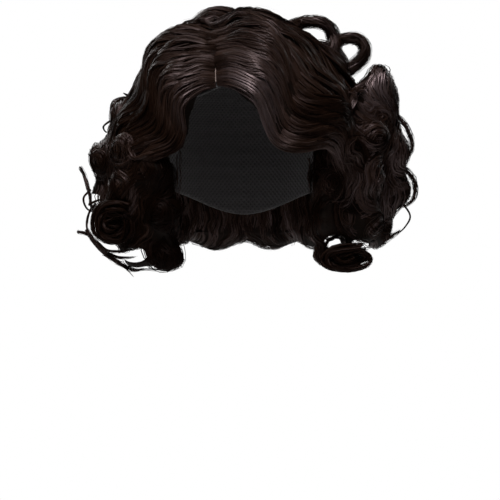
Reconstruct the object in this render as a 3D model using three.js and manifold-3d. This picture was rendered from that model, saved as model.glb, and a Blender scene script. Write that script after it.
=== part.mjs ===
// Curly bob wig with an off-centre parting: a hollow stretch cap, a parting strip sewn on it, and
// the hair in eight sections, each one a layer of hair that lies on the cap with its locks and curls
// fused to it. Millimetres, +Z up. The wig faces -Y, and +X is the wearer's left.
// The origin is the inside of the cap's top, where it sits on the crown of the head.
import * as THREE from "three";
import { mergeVertices } from "three/addons/utils/BufferGeometryUtils.js";
import Module from "manifold-3d";

const wasm = await Module();
wasm.setup();

// Driving dimensions
const HEAD_HALF_WIDTH = 76;
const HEAD_HALF_LENGTH = 96;
const CROWN_HEIGHT = 90; // from the widest level of the head up to its top
const FALL_PER_DEGREE = 1.57; // below the widest level a degree of drop is this much height
const CAP_WALL = 1.5;
const GAP = 0.3; // clearance between neighbouring pieces
const WELD = 1e-3; // corners nearer than this are one
const CAP_COLUMNS = 24;
const CAP_ROWS = 6;
const MOULD_DROP = 165; // the mould that keeps the hair off the head reaches down to here
const PARTING_X = -22;
const PARTING_HALF_WIDTH = 0.9;
const PARTING_HEIGHT = 1.2;
const PARTING_FRONT_DROP = 58; // the strip's two ends
const PARTING_BACK_DROP = 24;
const PARTING_ROWS = 6;
const COLUMNS_PER_LOCK = 4;
const BAND_ROWS = 11;
const PLAIN_ROWS = 7;
const PLAIN_COLUMNS = 6;
const CURL_SIDES = 6;
const CURL_ROOT = -130; // where a ribbon leaves its layer, in degrees round the roll from outwards
const TIP_NARROWING = 0.45; // how much of a ribbon's width is gone at its tip
const SIDE_SWELL = 24; // how much fuller the layer under the side curls is at its middle
const BACK_SWELL = 4;
const LAYER_DEPTH = 6; // how far a layer reaches into the mould before it is cut

// The cap's edge, from the middle of the forehead round to the nape. Both sides are alike.
const CAP_EDGE = [
  { place: "forehead", azimuth: 0, drop: 56 },
  { place: "temple", azimuth: 40, drop: 66 },
  { place: "ear tab", azimuth: 68, drop: 108 },
  { place: "over the ear", azimuth: 95, drop: 98 },
  { place: "behind the ear", azimuth: 125, drop: 112 },
  { place: "nape", azimuth: 180, drop: 124 },
];

// Bands of smooth hair. Each row is a station along the fall, from the parting or the crown to
// where the curls begin. "near" is the edge by the face and "far" the edge away from it. "lift" is
// how far an edge stands off the head, and "ridge" how high the band's locks rise above that.
const FRONT_WAVE_LEFT = [
  { nearAz: -17.3, nearDrop: 60, nearLift: 4, farAz: -35, farDrop: 25, farLift: 9, ridge: 3 },
  { nearAz: -3, nearDrop: 66, nearLift: 10, farAz: -2, farDrop: 20, farLift: 17, ridge: 6 },
  { nearAz: 6, nearDrop: 73, nearLift: 11, farAz: 19, farDrop: 34, farLift: 20, ridge: 7 },
  { nearAz: 11, nearDrop: 82, nearLift: 7, farAz: 28, farDrop: 48, farLift: 17, ridge: 6 },
  { nearAz: 18, nearDrop: 91, nearLift: 7, farAz: 33, farDrop: 60, farLift: 13, ridge: 5 },
  { nearAz: 27, nearDrop: 94, nearLift: 13, farAz: 40, farDrop: 69, farLift: 17, ridge: 6 },
  { nearAz: 37, nearDrop: 92, nearLift: 18, farAz: 51, farDrop: 74, farLift: 24, ridge: 6 },
  { nearAz: 47, nearDrop: 90, nearLift: 20, farAz: 60, farDrop: 78, farLift: 26, ridge: 4 },
];
const FRONT_WAVE_RIGHT = [
  { nearAz: -19.6, nearDrop: 61, nearLift: 4, farAz: -38, farDrop: 27, farLift: 9, ridge: 3 },
  { nearAz: -28, nearDrop: 67, nearLift: 8, farAz: -70, farDrop: 27, farLift: 19, ridge: 6 },
  { nearAz: -33, nearDrop: 75, nearLift: 10, farAz: -78, farDrop: 40, farLift: 23, ridge: 6 },
  { nearAz: -34, nearDrop: 84, nearLift: 7, farAz: -79, farDrop: 54, farLift: 25, ridge: 6 },
  { nearAz: -38, nearDrop: 93, nearLift: 8, farAz: -76, farDrop: 67, farLift: 21, ridge: 5 },
  { nearAz: -47, nearDrop: 98, nearLift: 15, farAz: -73, farDrop: 78, farLift: 25, ridge: 6 },
  { nearAz: -58, nearDrop: 102, nearLift: 22, farAz: -76, farDrop: 88, farLift: 31, ridge: 4 },
];
const CROWN_LEFT = [
  { nearAz: -36, nearDrop: 24, nearLift: 9, farAz: -128, farDrop: 18, farLift: 14, ridge: 5 },
  { nearAz: 0, nearDrop: 20, nearLift: 18, farAz: 165, farDrop: 14, farLift: 18, ridge: 7 },
  { nearAz: 22, nearDrop: 42, nearLift: 13, farAz: 138, farDrop: 34, farLift: 13, ridge: 6 },
  { nearAz: 29, nearDrop: 60, nearLift: 11, farAz: 131, farDrop: 52, farLift: 17, ridge: 7 },
  { nearAz: 38, nearDrop: 72, nearLift: 15, farAz: 129, farDrop: 70, farLift: 16, ridge: 6 },
  { nearAz: 53, nearDrop: 82, nearLift: 21, farAz: 128, farDrop: 88, farLift: 20, ridge: 5 },
];
const CROWN_RIGHT = [
  { nearAz: -36, nearDrop: 26, nearLift: 9, farAz: -129, farDrop: 20, farLift: 14, ridge: 5 },
  { nearAz: -66, nearDrop: 26, nearLift: 17, farAz: -150, farDrop: 30, farLift: 23, ridge: 7 },
  { nearAz: -74, nearDrop: 40, nearLift: 19, farAz: -138, farDrop: 44, farLift: 17, ridge: 6 },
  { nearAz: -76, nearDrop: 54, nearLift: 21, farAz: -131, farDrop: 60, farLift: 18, ridge: 7 },
  { nearAz: -74, nearDrop: 67, nearLift: 18, farAz: -129, farDrop: 74, farLift: 16, ridge: 6 },
  { nearAz: -72, nearDrop: 80, nearLift: 22, farAz: -128, farDrop: 88, farLift: 20, ridge: 5 },
];
const BACK_FALL = [
  { nearAz: -176, nearDrop: 12, nearLift: 15, farAz: -122, farDrop: 22, farLift: 15, ridge: 5 },
  { nearAz: 152, nearDrop: 19, nearLift: 22, farAz: -146, farDrop: 32, farLift: 23, ridge: 8 },
  { nearAz: 131, nearDrop: 36, nearLift: 15, farAz: -132, farDrop: 46, farLift: 16, ridge: 6 },
  { nearAz: 124, nearDrop: 54, nearLift: 17, farAz: -126, farDrop: 62, farLift: 17, ridge: 7 },
  { nearAz: 122, nearDrop: 73, nearLift: 17, farAz: -124, farDrop: 76, farLift: 17, ridge: 6 },
  { nearAz: 122, nearDrop: 90, nearLift: 21, farAz: -124, farDrop: 90, farLift: 21, ridge: 5 },
];

// Layers of hair under the curls, that hang past the cap's edge.
const SIDE_LAYER_LEFT = [
  { nearAz: 54, nearDrop: 72, nearLift: 8, farAz: 124, farDrop: 64, farLift: 12 },
  { nearAz: 46, nearDrop: 86, nearLift: 8, farAz: 128, farDrop: 82, farLift: 18 },
  { nearAz: 44, nearDrop: 104, nearLift: 9, farAz: 128, farDrop: 102, farLift: 23 },
  { nearAz: 44, nearDrop: 122, nearLift: 8, farAz: 128, farDrop: 122, farLift: 21 },
  { nearAz: 48, nearDrop: 143, nearLift: 3, farAz: 126, farDrop: 141, farLift: 12 },
];
const SIDE_LAYER_RIGHT = [
  { nearAz: -54, nearDrop: 78, nearLift: 4, farAz: -124, farDrop: 72, farLift: 8 },
  { nearAz: -47, nearDrop: 92, nearLift: 7, farAz: -128, farDrop: 88, farLift: 18 },
  { nearAz: -45, nearDrop: 110, nearLift: 8, farAz: -128, farDrop: 108, farLift: 22 },
  { nearAz: -45, nearDrop: 128, nearLift: 6, farAz: -128, farDrop: 126, farLift: 20 },
  { nearAz: -47, nearDrop: 148, nearLift: 2, farAz: -126, farDrop: 142, farLift: 12 },
];
const BACK_LAYER = [
  { nearAz: 129, nearDrop: 80, nearLift: 16, farAz: 231, farDrop: 80, farLift: 16 },
  { nearAz: 129, nearDrop: 100, nearLift: 22, farAz: 231, farDrop: 100, farLift: 22 },
  { nearAz: 129, nearDrop: 118, nearLift: 22, farAz: 231, farDrop: 118, farLift: 22 },
  { nearAz: 130, nearDrop: 136, nearLift: 14, farAz: 230, farDrop: 136, farLift: 14 },
];

// Curls. A curl is a ribbon of hair rolled round an axis that lies level along the head. "lean" tips
// that axis and "toward" swings it round the vertical. A curl of positive turns rolls under, and one
// of negative turns flicks up.
const SIDE_CURLS_LEFT = [
  { azimuth: 55, drop: 91, lift: 19, radius: 18, half: 15, turns: 1, lean: 20, toward: 15 },
  { azimuth: 50, drop: 110, lift: 11, radius: 18, half: 15, turns: -1, lean: -20, toward: 10 },
  { azimuth: 52, drop: 129, lift: 9, radius: 18, half: 16, turns: 1, lean: 15, toward: 10 },
  { azimuth: 60, drop: 147, lift: 13, radius: 15, half: 22, turns: 1.2, lean: 0, toward: -52 },
  { azimuth: 69, drop: 87, lift: 34, radius: 19, half: 16, turns: -1, lean: 25, toward: 0 },
  { azimuth: 67, drop: 108, lift: 31, radius: 20, half: 16, turns: 1, lean: -20, toward: 0 },
  { azimuth: 69, drop: 130, lift: 29, radius: 19, half: 17, turns: -1, lean: 15, toward: -20 },
  { azimuth: 87, drop: 73, lift: 37, radius: 24, half: 18, turns: 1, lean: 10, toward: 0 },
  { azimuth: 88, drop: 92, lift: 45, radius: 20, half: 17, turns: 1, lean: -12, toward: 0 },
  { azimuth: 90, drop: 113, lift: 46, radius: 20, half: 17, turns: -1, lean: 15, toward: 0 },
  { azimuth: 92, drop: 134, lift: 31, radius: 19, half: 18, turns: -1.1, lean: -10, toward: 0 },
  { azimuth: 110, drop: 84, lift: 34, radius: 21, half: 19, turns: 1, lean: -15, toward: 0 },
  { azimuth: 111, drop: 109, lift: 38, radius: 21, half: 19, turns: -1, lean: 15, toward: 0 },
  { azimuth: 113, drop: 134, lift: 27, radius: 19, half: 19, turns: 1, lean: -10, toward: 0 },
];
const SIDE_CURLS_RIGHT = [
  { azimuth: -52, drop: 104, lift: 12, radius: 18, half: 15, turns: -1, lean: 20, toward: -10 },
  { azimuth: -49, drop: 125, lift: 7, radius: 18, half: 15, turns: 1, lean: -20, toward: -10 },
  { azimuth: -51, drop: 148, lift: 2, radius: 15, half: 15, turns: 1.1, lean: 0, toward: 30 },
  { azimuth: -66, drop: 92, lift: 27, radius: 18, half: 15, turns: 1, lean: 25, toward: 0 },
  { azimuth: -66, drop: 112, lift: 28, radius: 18, half: 15, turns: -1, lean: -15, toward: 0 },
  { azimuth: -72, drop: 128, lift: 33, radius: 19, half: 15, turns: 1.3, lean: 0, toward: -18 },
  { azimuth: -65, drop: 147, lift: 17, radius: 15, half: 17, turns: 1.1, lean: 10, toward: 20 },
  { azimuth: -84, drop: 77, lift: 24, radius: 16, half: 15, turns: -1, lean: 10, toward: 0 },
  { azimuth: -86, drop: 96, lift: 36, radius: 19, half: 17, turns: 1, lean: -12, toward: 0 },
  { azimuth: -90, drop: 117, lift: 36, radius: 20, half: 17, turns: -1, lean: 15, toward: 0 },
  { azimuth: -94, drop: 138, lift: 25, radius: 18, half: 18, turns: 1.1, lean: -8, toward: 0 },
  { azimuth: -110, drop: 84, lift: 29, radius: 21, half: 19, turns: -1, lean: -15, toward: 0 },
  { azimuth: -111, drop: 109, lift: 34, radius: 21, half: 19, turns: 1, lean: 15, toward: 0 },
  { azimuth: -114, drop: 134, lift: 26, radius: 19, half: 19, turns: -1, lean: -10, toward: 0 },
];
const BACK_CURLS = [
  { azimuth: 137, drop: 92, lift: 31, radius: 20, half: 20, turns: 1, lean: 15, toward: 0 },
  { azimuth: 166, drop: 88, lift: 30, radius: 20, half: 20, turns: -1, lean: -15, toward: 0 },
  { azimuth: 194, drop: 89, lift: 30, radius: 20, half: 20, turns: 1, lean: 15, toward: 0 },
  { azimuth: 223, drop: 92, lift: 31, radius: 20, half: 20, turns: -1, lean: -15, toward: 0 },
  { azimuth: 136, drop: 115, lift: 31, radius: 20, half: 20, turns: -1, lean: -10, toward: 0 },
  { azimuth: 166, drop: 112, lift: 31, radius: 20, half: 20, turns: 1, lean: 12, toward: 0 },
  { azimuth: 194, drop: 113, lift: 31, radius: 20, half: 20, turns: -1, lean: -12, toward: 0 },
  { azimuth: 224, drop: 115, lift: 31, radius: 20, half: 20, turns: 1, lean: 10, toward: 0 },
  { azimuth: 138, drop: 136, lift: 20, radius: 17, half: 21, turns: 1, lean: 0, toward: 0 },
  { azimuth: 166, drop: 135, lift: 21, radius: 17, half: 21, turns: -1, lean: 8, toward: 0 },
  { azimuth: 194, drop: 136, lift: 21, radius: 17, half: 21, turns: 1, lean: -6, toward: 0 },
  { azimuth: 222, drop: 135, lift: 20, radius: 17, half: 21, turns: -1, lean: 0, toward: 0 },
];
// Two open loops that spring up out of the crown, drawn as round locks with daylight through them.
const CROWN_LOOPS = [
  { azimuth: 88, drop: 35, lift: 24, radius: 15, half: 4.5, turns: 1, lean: 0, toward: 0 },
  { azimuth: 88, drop: 52, lift: 30, radius: 16, half: 4.5, turns: 1, lean: 0, toward: 0 },
];
// A ribbon's half thickness and how much it closes in towards its tip, as shares of the radius.
const CURL_RIBBON = { thickness: 0.3, tightening: 0.42, stepsPerTurn: 7 };
const LOOP_RIBBON = { thickness: 0.26, tightening: 0.1, stepsPerTurn: 11 };

// Finishes
const HAIR = new THREE.MeshStandardMaterial({ color: 0x14100f, roughness: 0.42, metalness: 0 });
const NET = new THREE.MeshStandardMaterial({ color: 0x1b1819, roughness: 0.85, metalness: 0 });
const SCALP_STRIP = new THREE.MeshStandardMaterial({ color: 0x4a3b36, roughness: 0.7, metalness: 0 });

const radians = THREE.MathUtils.degToRad;

// A place on a head of unit size. Azimuth runs from the face round to the wearer's left, and drop
// from the top of the head down: 90 is the widest level, and past it the way is plumb.
function unitPlace(azimuth, drop) {
  const around = radians(azimuth);
  const down = radians(Math.min(drop, 90));
  const fall = (Math.max(drop - 90, 0) * FALL_PER_DEGREE) / CROWN_HEIGHT;
  const reach = Math.sin(down);
  return new THREE.Vector3(reach * Math.sin(around), -reach * Math.cos(around), Math.cos(down) - fall);
}

// The same place on the real head, "lift" outside it. A place off the unit head is drawn on to it.
function onHead(unit, lift) {
  const above = Math.max(unit.z, 0);
  const size = Math.hypot(unit.x, unit.y, above);
  const height = unit.z > 0 ? ((CROWN_HEIGHT + lift) * above) / size : CROWN_HEIGHT * unit.z;
  return new THREE.Vector3(
    ((HEAD_HALF_WIDTH + lift) * unit.x) / size,
    ((HEAD_HALF_LENGTH + lift) * unit.y) / size,
    height - CROWN_HEIGHT,
  );
}

const outwardAt = (unit, lift) => onHead(unit, lift + 1).sub(onHead(unit, lift)).normalize();

const headPoint = (azimuth, drop, lift) => onHead(unitPlace(azimuth, drop), lift);

// A closed skin as a solid. A skin that came out facing inwards has its triangles turned round.
function solidOf(points, triangles) {
  const geometry = new THREE.BufferGeometry().setFromPoints(points);
  geometry.setIndex(triangles);
  return weld(geometry);
}

function weld(geometry) {
  const welded = mergeVertices(geometry, WELD);
  const corners = new Uint32Array(welded.index.array);
  if (signedVolume(welded.attributes.position, corners) < 0) {
    corners.reverse();
  }
  const skin = { numProp: 3, vertProperties: welded.attributes.position.array, triVerts: corners };
  return new wasm.Manifold(new wasm.Mesh(skin));
}

function signedVolume(position, corners) {
  const at = (corner) => new THREE.Vector3().fromBufferAttribute(position, corners[corner]);
  let volume = 0;
  for (let i = 0; i < corners.length; i += 3) {
    volume += at(i).dot(at(i + 1).cross(at(i + 2))) / 6;
  }
  return volume;
}

const fuse = (solids) => solids.reduce((whole, next) => whole.add(next));

const largest = (solid) => solid.decompose().sort((a, b) => b.volume() - a.volume())[0];

// The largest body of a solid, welded, without the crumbs that a cut can leave.
function mainBody(solid) {
  return largest(weld(geometryOf(largest(solid))));
}

// A closed skin over rings of points, each end drawn to its ring's middle and moved out by "grow".
function sweep(rings, grow = 0) {
  const sides = rings[0].length;
  const middle = (ring) => ring.reduce((sum, p) => sum.add(p), new THREE.Vector3()).divideScalar(sides);
  const ends = [rings[0], rings.at(-1)];
  const inside = [rings[1], rings.at(-2)];
  ends.forEach((ring, end) => {
    const away = middle(ring).sub(middle(inside[end])).setLength(grow);
    ring.forEach((point) => point.add(away));
  });
  const points = rings.flat();
  const triangles = [];
  for (let r = 0; r + 1 < rings.length; r++) {
    for (let s = 0; s < sides; s++) {
      const a = r * sides + s;
      const b = r * sides + ((s + 1) % sides);
      triangles.push(a, b, a + sides, b, b + sides, a + sides);
    }
  }
  const first = points.push(middle(rings[0])) - 1;
  const last = points.push(middle(rings.at(-1))) - 1;
  const lastRing = (rings.length - 1) * sides;
  for (let s = 0; s < sides; s++) {
    const next = (s + 1) % sides;
    triangles.push(first, next, s, last, lastRing + s, lastRing + next);
  }
  return solidOf(points, triangles);
}

// A closed slab between two grids of points that have the same rows and columns.
function slab(outer, inner, grow = 0) {
  const widen = (row) => {
    const [first, second, beforeLast, last] = [row[0], row[1], row.at(-2), row.at(-1)];
    const [toFirst, toLast] = [first.clone().sub(second), last.clone().sub(beforeLast)];
    first.add(toFirst.setLength(grow));
    last.add(toLast.setLength(grow));
    return row;
  };
  return sweep(
    outer.map((row, r) => [...widen(row), ...widen(inner[r]).reverse()]),
    grow,
  );
}

// A dome round the head: columns of points from the top down through each column's own drops.
function dome(lift, dropsAt) {
  const points = [headPoint(0, 0, lift)];
  const rows = dropsAt(0).length;
  for (let row = 0; row < rows; row++) {
    for (let column = 0; column < CAP_COLUMNS; column++) {
      const azimuth = (360 * column) / CAP_COLUMNS;
      points.push(headPoint(azimuth, dropsAt(azimuth)[row], lift));
    }
  }
  const at = (row, column) => 1 + row * CAP_COLUMNS + (column % CAP_COLUMNS);
  const triangles = [];
  for (let column = 0; column < CAP_COLUMNS; column++) {
    triangles.push(0, at(0, column), at(0, column + 1));
    for (let row = 0; row + 1 < rows; row++) {
      triangles.push(at(row, column), at(row + 1, column), at(row + 1, column + 1));
      triangles.push(at(row, column), at(row + 1, column + 1), at(row, column + 1));
    }
  }
  return { points, triangles, edge: (column) => at(rows - 1, column) };
}

// The drop of the cap's edge at an azimuth, eased from one row of its table to the next.
function capEdge(azimuth) {
  const turned = Math.abs(THREE.MathUtils.euclideanModulo(azimuth + 180, 360) - 180);
  const next = Math.max(1, CAP_EDGE.findIndex((row) => row.azimuth >= turned));
  const [from, to] = [CAP_EDGE[next - 1], CAP_EDGE[next]];
  const share = THREE.MathUtils.smoothstep(turned, from.azimuth, to.azimuth);
  return THREE.MathUtils.lerp(from.drop, to.drop, share);
}

const capDrops = (azimuth) =>
  Array.from({ length: CAP_ROWS }, (_, row) => (capEdge(azimuth) * (row + 1)) / CAP_ROWS);

// The cap: an outer and an inner dome, joined round the edge.
function capSolid() {
  const outer = dome(CAP_WALL, capDrops);
  const inner = dome(0, capDrops);
  const shift = outer.points.length;
  const triangles = [...outer.triangles];
  for (let i = 0; i < inner.triangles.length; i += 3) {
    const [a, b, c] = inner.triangles.slice(i, i + 3);
    triangles.push(shift + a, shift + c, shift + b);
  }
  for (let column = 0; column < CAP_COLUMNS; column++) {
    const [a, b] = [outer.edge(column), outer.edge(column + 1)];
    triangles.push(a, shift + a, b, b, shift + a, shift + b);
  }
  return solidOf([...outer.points, ...inner.points], triangles);
}

// The space of the head and the cap on it, filled, that no hair may enter.
function headMould() {
  const drops = (azimuth) => [...capDrops(azimuth), MOULD_DROP];
  const { points, triangles, edge } = dome(CAP_WALL + GAP, drops);
  const bottom = points.push(new THREE.Vector3(0, 0, points.at(-1).z)) - 1;
  for (let column = 0; column < CAP_COLUMNS; column++) {
    triangles.push(edge(column), bottom, edge(column + 1));
  }
  return solidOf(points, triangles);
}

// The strip that the parting shows, from the forehead back towards the crown.
function partingSolid(grow) {
  const azimuthAt = (x, drop) =>
    THREE.MathUtils.radToDeg(Math.asin(x / (HEAD_HALF_WIDTH * Math.sin(radians(drop)))));
  const row = (drop, lift) =>
    [-1, 1].map((side) => {
      const x = PARTING_X + side * (PARTING_HALF_WIDTH + grow);
      return headPoint(azimuthAt(x, drop), drop, lift);
    });
  const drops = Array.from({ length: PARTING_ROWS + 1 }, (_, i) =>
    THREE.MathUtils.lerp(PARTING_FRONT_DROP + grow, PARTING_BACK_DROP - grow, i / PARTING_ROWS),
  );
  const top = CAP_WALL + GAP + PARTING_HEIGHT + grow;
  return slab(
    drops.map((drop) => row(drop, top)),
    drops.map((drop) => row(drop, -LAYER_DEPTH)),
  );
}

// A band's own coordinates: "along" runs with the hair and "across" from its near to its far edge.
function bandSurface(stations) {
  const curve = (points) => new THREE.CatmullRomCurve3(points, false, "catmullrom", 0.5);
  const edge = (name) => ({
    places: curve(stations.map((row) => unitPlace(row[name + "Az"], row[name + "Drop"]))),
    lifts: curve(stations.map((row) => new THREE.Vector3(0, 0, row[name + "Lift"]))),
  });
  const [near, far] = [edge("near"), edge("far")];
  const between = (kind, along, across) =>
    near[kind].getPoint(along).lerp(far[kind].getPoint(along), across);
  const place = (along, across) => between("places", along, across);
  const height = (along, across) => between("lifts", along, across).z;
  return {
    point: (along, across, lift = 0) => onHead(place(along, across), height(along, across) + lift),
    floor: (along, across) => onHead(place(along, across), -LAYER_DEPTH),
  };
}

// A sheet of hair on the mould, raised into locks that lie side by side and run with the hair.
function layerSolid(stations, { locks = 0, swell = 0 }, grow) {
  const surface = bandSurface(stations);
  const rows = locks ? BAND_ROWS : PLAIN_ROWS;
  const columns = locks ? locks * COLUMNS_PER_LOCK + 1 : PLAIN_COLUMNS;
  const ridge = (along) => {
    const station = along * (stations.length - 1);
    const [low, high] = [stations[Math.floor(station)], stations[Math.ceil(station)]];
    return locks ? THREE.MathUtils.lerp(low.ridge, high.ridge, station % 1) : 0;
  };
  const lift = (along, across) =>
    swell * Math.sin(Math.PI * across) +
    ridge(along) * Math.abs(Math.sin(Math.PI * locks * across)) +
    grow;
  const grid = (at) =>
    Array.from({ length: rows }, (_, r) =>
      Array.from({ length: columns }, (_, c) => at(r / (rows - 1), c / (columns - 1))),
    );
  return slab(
    grid((along, across) => surface.point(along, across, lift(along, across))),
    grid((along, across) => surface.floor(along, across)),
    grow,
  );
}

function oval(centre, wide, thick, sides) {
  return Array.from({ length: sides }, (_, s) => {
    const turn = (2 * Math.PI * s) / sides;
    return centre
      .clone()
      .addScaledVector(wide, Math.cos(turn))
      .addScaledVector(thick, Math.sin(turn));
  });
}

// A ribbon of hair rolled up round an axis, from its root on the outside to its tip within.
function curlSolid(curl, { thickness, tightening, stepsPerTurn }, grow) {
  const place = unitPlace(curl.azimuth, curl.drop);
  const centre = onHead(place, curl.lift);
  const out = outwardAt(place, curl.lift);
  const level = new THREE.Vector3(0, 0, 1).cross(out).normalize();
  const axis = level
    .applyAxisAngle(out, radians(curl.lean))
    .applyAxisAngle(new THREE.Vector3(0, 0, 1), radians(curl.toward));
  const begin = out.clone().projectOnPlane(axis).normalize();
  const steps = Math.round(Math.abs(curl.turns) * stepsPerTurn);
  const rings = [];
  for (let step = 0; step <= steps; step++) {
    const share = step / steps;
    const turn = Math.sign(curl.turns) * radians(CURL_ROOT) + share * curl.turns * 2 * Math.PI;
    const radial = begin.clone().applyAxisAngle(axis, turn);
    const radius = curl.radius * (1 - thickness - tightening * share);
    const full = 1 - TIP_NARROWING * share ** 3;
    const spot = centre.clone().addScaledVector(radial, radius);
    const wide = axis.clone().multiplyScalar(curl.half * full + grow);
    const thick = radial.multiplyScalar(curl.radius * thickness * full + grow);
    rings.push(oval(spot, wide, thick, CURL_SIDES));
  }
  return sweep(rings, grow);
}

const curls = (rows, grow) => rows.map((row) => curlSolid(row, CURL_RIBBON, grow));

const loops = (rows, grow) => rows.map((row) => curlSolid(row, LOOP_RIBBON, grow));

// The hair sections, outermost first. Each makes its solids, grown by "grow" on every side.
const SECTIONS = {
  front_wave_left: (grow) => [layerSolid(FRONT_WAVE_LEFT, { locks: 4 }, grow)],
  front_wave_right: (grow) => [layerSolid(FRONT_WAVE_RIGHT, { locks: 4 }, grow)],
  crown_left: (grow) => [layerSolid(CROWN_LEFT, { locks: 5 }, grow), ...loops(CROWN_LOOPS, grow)],
  crown_right: (grow) => [layerSolid(CROWN_RIGHT, { locks: 4 }, grow)],
  back_fall: (grow) => [layerSolid(BACK_FALL, { locks: 5 }, grow)],
  side_curls_left: (grow) => [
    layerSolid(SIDE_LAYER_LEFT, { swell: SIDE_SWELL }, grow),
    ...curls(SIDE_CURLS_LEFT, grow),
  ],
  side_curls_right: (grow) => [
    layerSolid(SIDE_LAYER_RIGHT, { swell: SIDE_SWELL }, grow),
    ...curls(SIDE_CURLS_RIGHT, grow),
  ],
  back_curls: (grow) => [
    layerSolid(BACK_LAYER, { swell: BACK_SWELL }, grow),
    ...curls(BACK_CURLS, grow),
  ],
};

// A solid as the scene's geometry, and that as a named mesh.
function geometryOf(solid) {
  const { vertProperties, triVerts } = solid.getMesh();
  const geometry = new THREE.BufferGeometry();
  geometry.setAttribute("position", new THREE.BufferAttribute(vertProperties, 3));
  geometry.setIndex(new THREE.BufferAttribute(triVerts, 1));
  return geometry;
}

function meshOf(name, solid, material) {
  const geometry = geometryOf(solid);
  geometry.computeVertexNormals();
  const mesh = new THREE.Mesh(geometry, material);
  mesh.name = name;
  return mesh;
}

const wig = new THREE.Group();
wig.name = "curly_bob_wig";
const mould = headMould();
wig.add(meshOf("wig_cap", capSolid(), NET));
wig.add(meshOf("parting_strip", partingSolid(0).subtract(mould), SCALP_STRIP));

// Each section is cut clear of the head, of the parting and of the sections that lie over it.
let taken = mould.add(partingSolid(GAP));
for (const [name, pieces] of Object.entries(SECTIONS)) {
  const section = mainBody(fuse(pieces(0)).subtract(taken));
  wig.add(meshOf(name, section, HAIR));
  taken = taken.add(fuse(pieces(GAP))).add(section);
}

export default wig;
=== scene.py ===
# %% [markdown]
# # A curly bob wig
# A wig is a stretch cap with wefts of fibre sewn to it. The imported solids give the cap, the parting
# strip and eight sections of hair their places and forms. This lesson dresses each of them: a smooth
# knitted cap, a cloth parting, a soft body inside each section of hair, and the strands over it.
# Hair is worked out in millimetres and degrees, and the meshes are made in metres.

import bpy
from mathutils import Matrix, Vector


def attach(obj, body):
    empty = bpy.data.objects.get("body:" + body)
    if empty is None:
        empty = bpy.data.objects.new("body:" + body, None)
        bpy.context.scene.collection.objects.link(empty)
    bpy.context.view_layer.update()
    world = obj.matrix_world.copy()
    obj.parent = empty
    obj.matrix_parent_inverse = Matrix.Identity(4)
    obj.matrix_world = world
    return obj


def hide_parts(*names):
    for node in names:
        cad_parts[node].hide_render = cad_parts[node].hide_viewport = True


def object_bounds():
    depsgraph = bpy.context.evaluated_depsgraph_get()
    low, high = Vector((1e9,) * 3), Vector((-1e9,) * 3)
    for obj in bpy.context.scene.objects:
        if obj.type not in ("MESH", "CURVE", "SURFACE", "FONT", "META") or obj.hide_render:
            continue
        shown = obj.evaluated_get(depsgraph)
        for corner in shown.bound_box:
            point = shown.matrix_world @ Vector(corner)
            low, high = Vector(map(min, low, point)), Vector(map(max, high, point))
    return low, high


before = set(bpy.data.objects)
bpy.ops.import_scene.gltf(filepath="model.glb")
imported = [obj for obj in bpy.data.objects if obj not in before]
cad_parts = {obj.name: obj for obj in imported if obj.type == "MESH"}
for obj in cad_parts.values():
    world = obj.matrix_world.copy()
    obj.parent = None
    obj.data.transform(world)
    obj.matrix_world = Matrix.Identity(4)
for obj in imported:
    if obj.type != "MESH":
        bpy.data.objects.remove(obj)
cad_box = [list(corner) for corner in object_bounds()]

import math

import bmesh
import bpy
import numpy as np
from mathutils import Matrix, Vector
from mathutils.bvhtree import BVHTree

MM = 0.001
scene = bpy.context.scene
print("nodes:", ", ".join(sorted(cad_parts)))

# %% [markdown]
# ## Camera
# The wig is seen level, from a few steps away, through a long lens. The lens follows from how wide
# the wig is in the picture. There is no shift and no blur.

# %% Camera
CAMERA_PLACE = (0.0049, -2.6, -0.1746)
SENSOR_WIDTH = 36.0
PICTURE_WIDTH = 500
PIXELS_PER_SLOPE = 3172  # how many pixels off the middle a thing is that lies as far aside as away

lens = bpy.data.cameras.new("long lens")
lens.sensor_width = SENSOR_WIDTH
lens.lens = SENSOR_WIDTH * PIXELS_PER_SLOPE / PICTURE_WIDTH
camera = bpy.data.objects.new("camera", lens)
camera.location = CAMERA_PLACE
camera.rotation_euler = (math.radians(90), 0, 0)
scene.collection.objects.link(camera)
scene.camera = camera
print("lens in millimetres:", round(lens.lens, 1))

# %% [markdown]
# ## Colours and nodes
# Colours are written as sRGB hex values, as a paint chart gives them, and shaders want linear light.
# One small function adds a node, sets it and links it, so that each finish reads as a short recipe.


# %% Colour and node helpers
def linear(hex_colour):
    """An sRGB hex colour as linear red, green and blue, with full alpha."""
    channels = [int(hex_colour[i : i + 2], 16) / 255 for i in (1, 3, 5)]
    return [c / 12.92 if c <= 0.04045 else ((c + 0.055) / 1.055) ** 2.4 for c in channels] + [1.0]


def new_finish(name):
    """A material, its node tree and its shader."""
    finish = bpy.data.materials.new(name)
    finish.use_nodes = True
    return finish, finish.node_tree, finish.node_tree.nodes["Principled BSDF"]


def add_node(tree, kind, settings=None, values=None, links=None):
    """Adds a node. Links give, for an input's name, the socket that feeds it."""
    node = tree.nodes.new(kind)
    for name, value in (settings or {}).items():
        setattr(node, name, value)
    for name, value in (values or {}).items():
        node.inputs[name].default_value = value
    for name, socket in (links or {}).items():
        tree.links.new(socket, node.inputs[name])
    return node


print("mid grey in linear light:", round(linear("#808080")[0], 3))

# %% [markdown]
# ## Stage and light
# The wig hangs where a head would hold it, over a small pale floor, with white all round. One wide
# soft light hangs overhead, to the front and a little to the left. Two weak ones stand by the camera
# and on the right, and two from behind draw the edges of the curls. The white that the camera sees is
# brighter than the light it gives, because black fibre would turn grey in an even white room.

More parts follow.
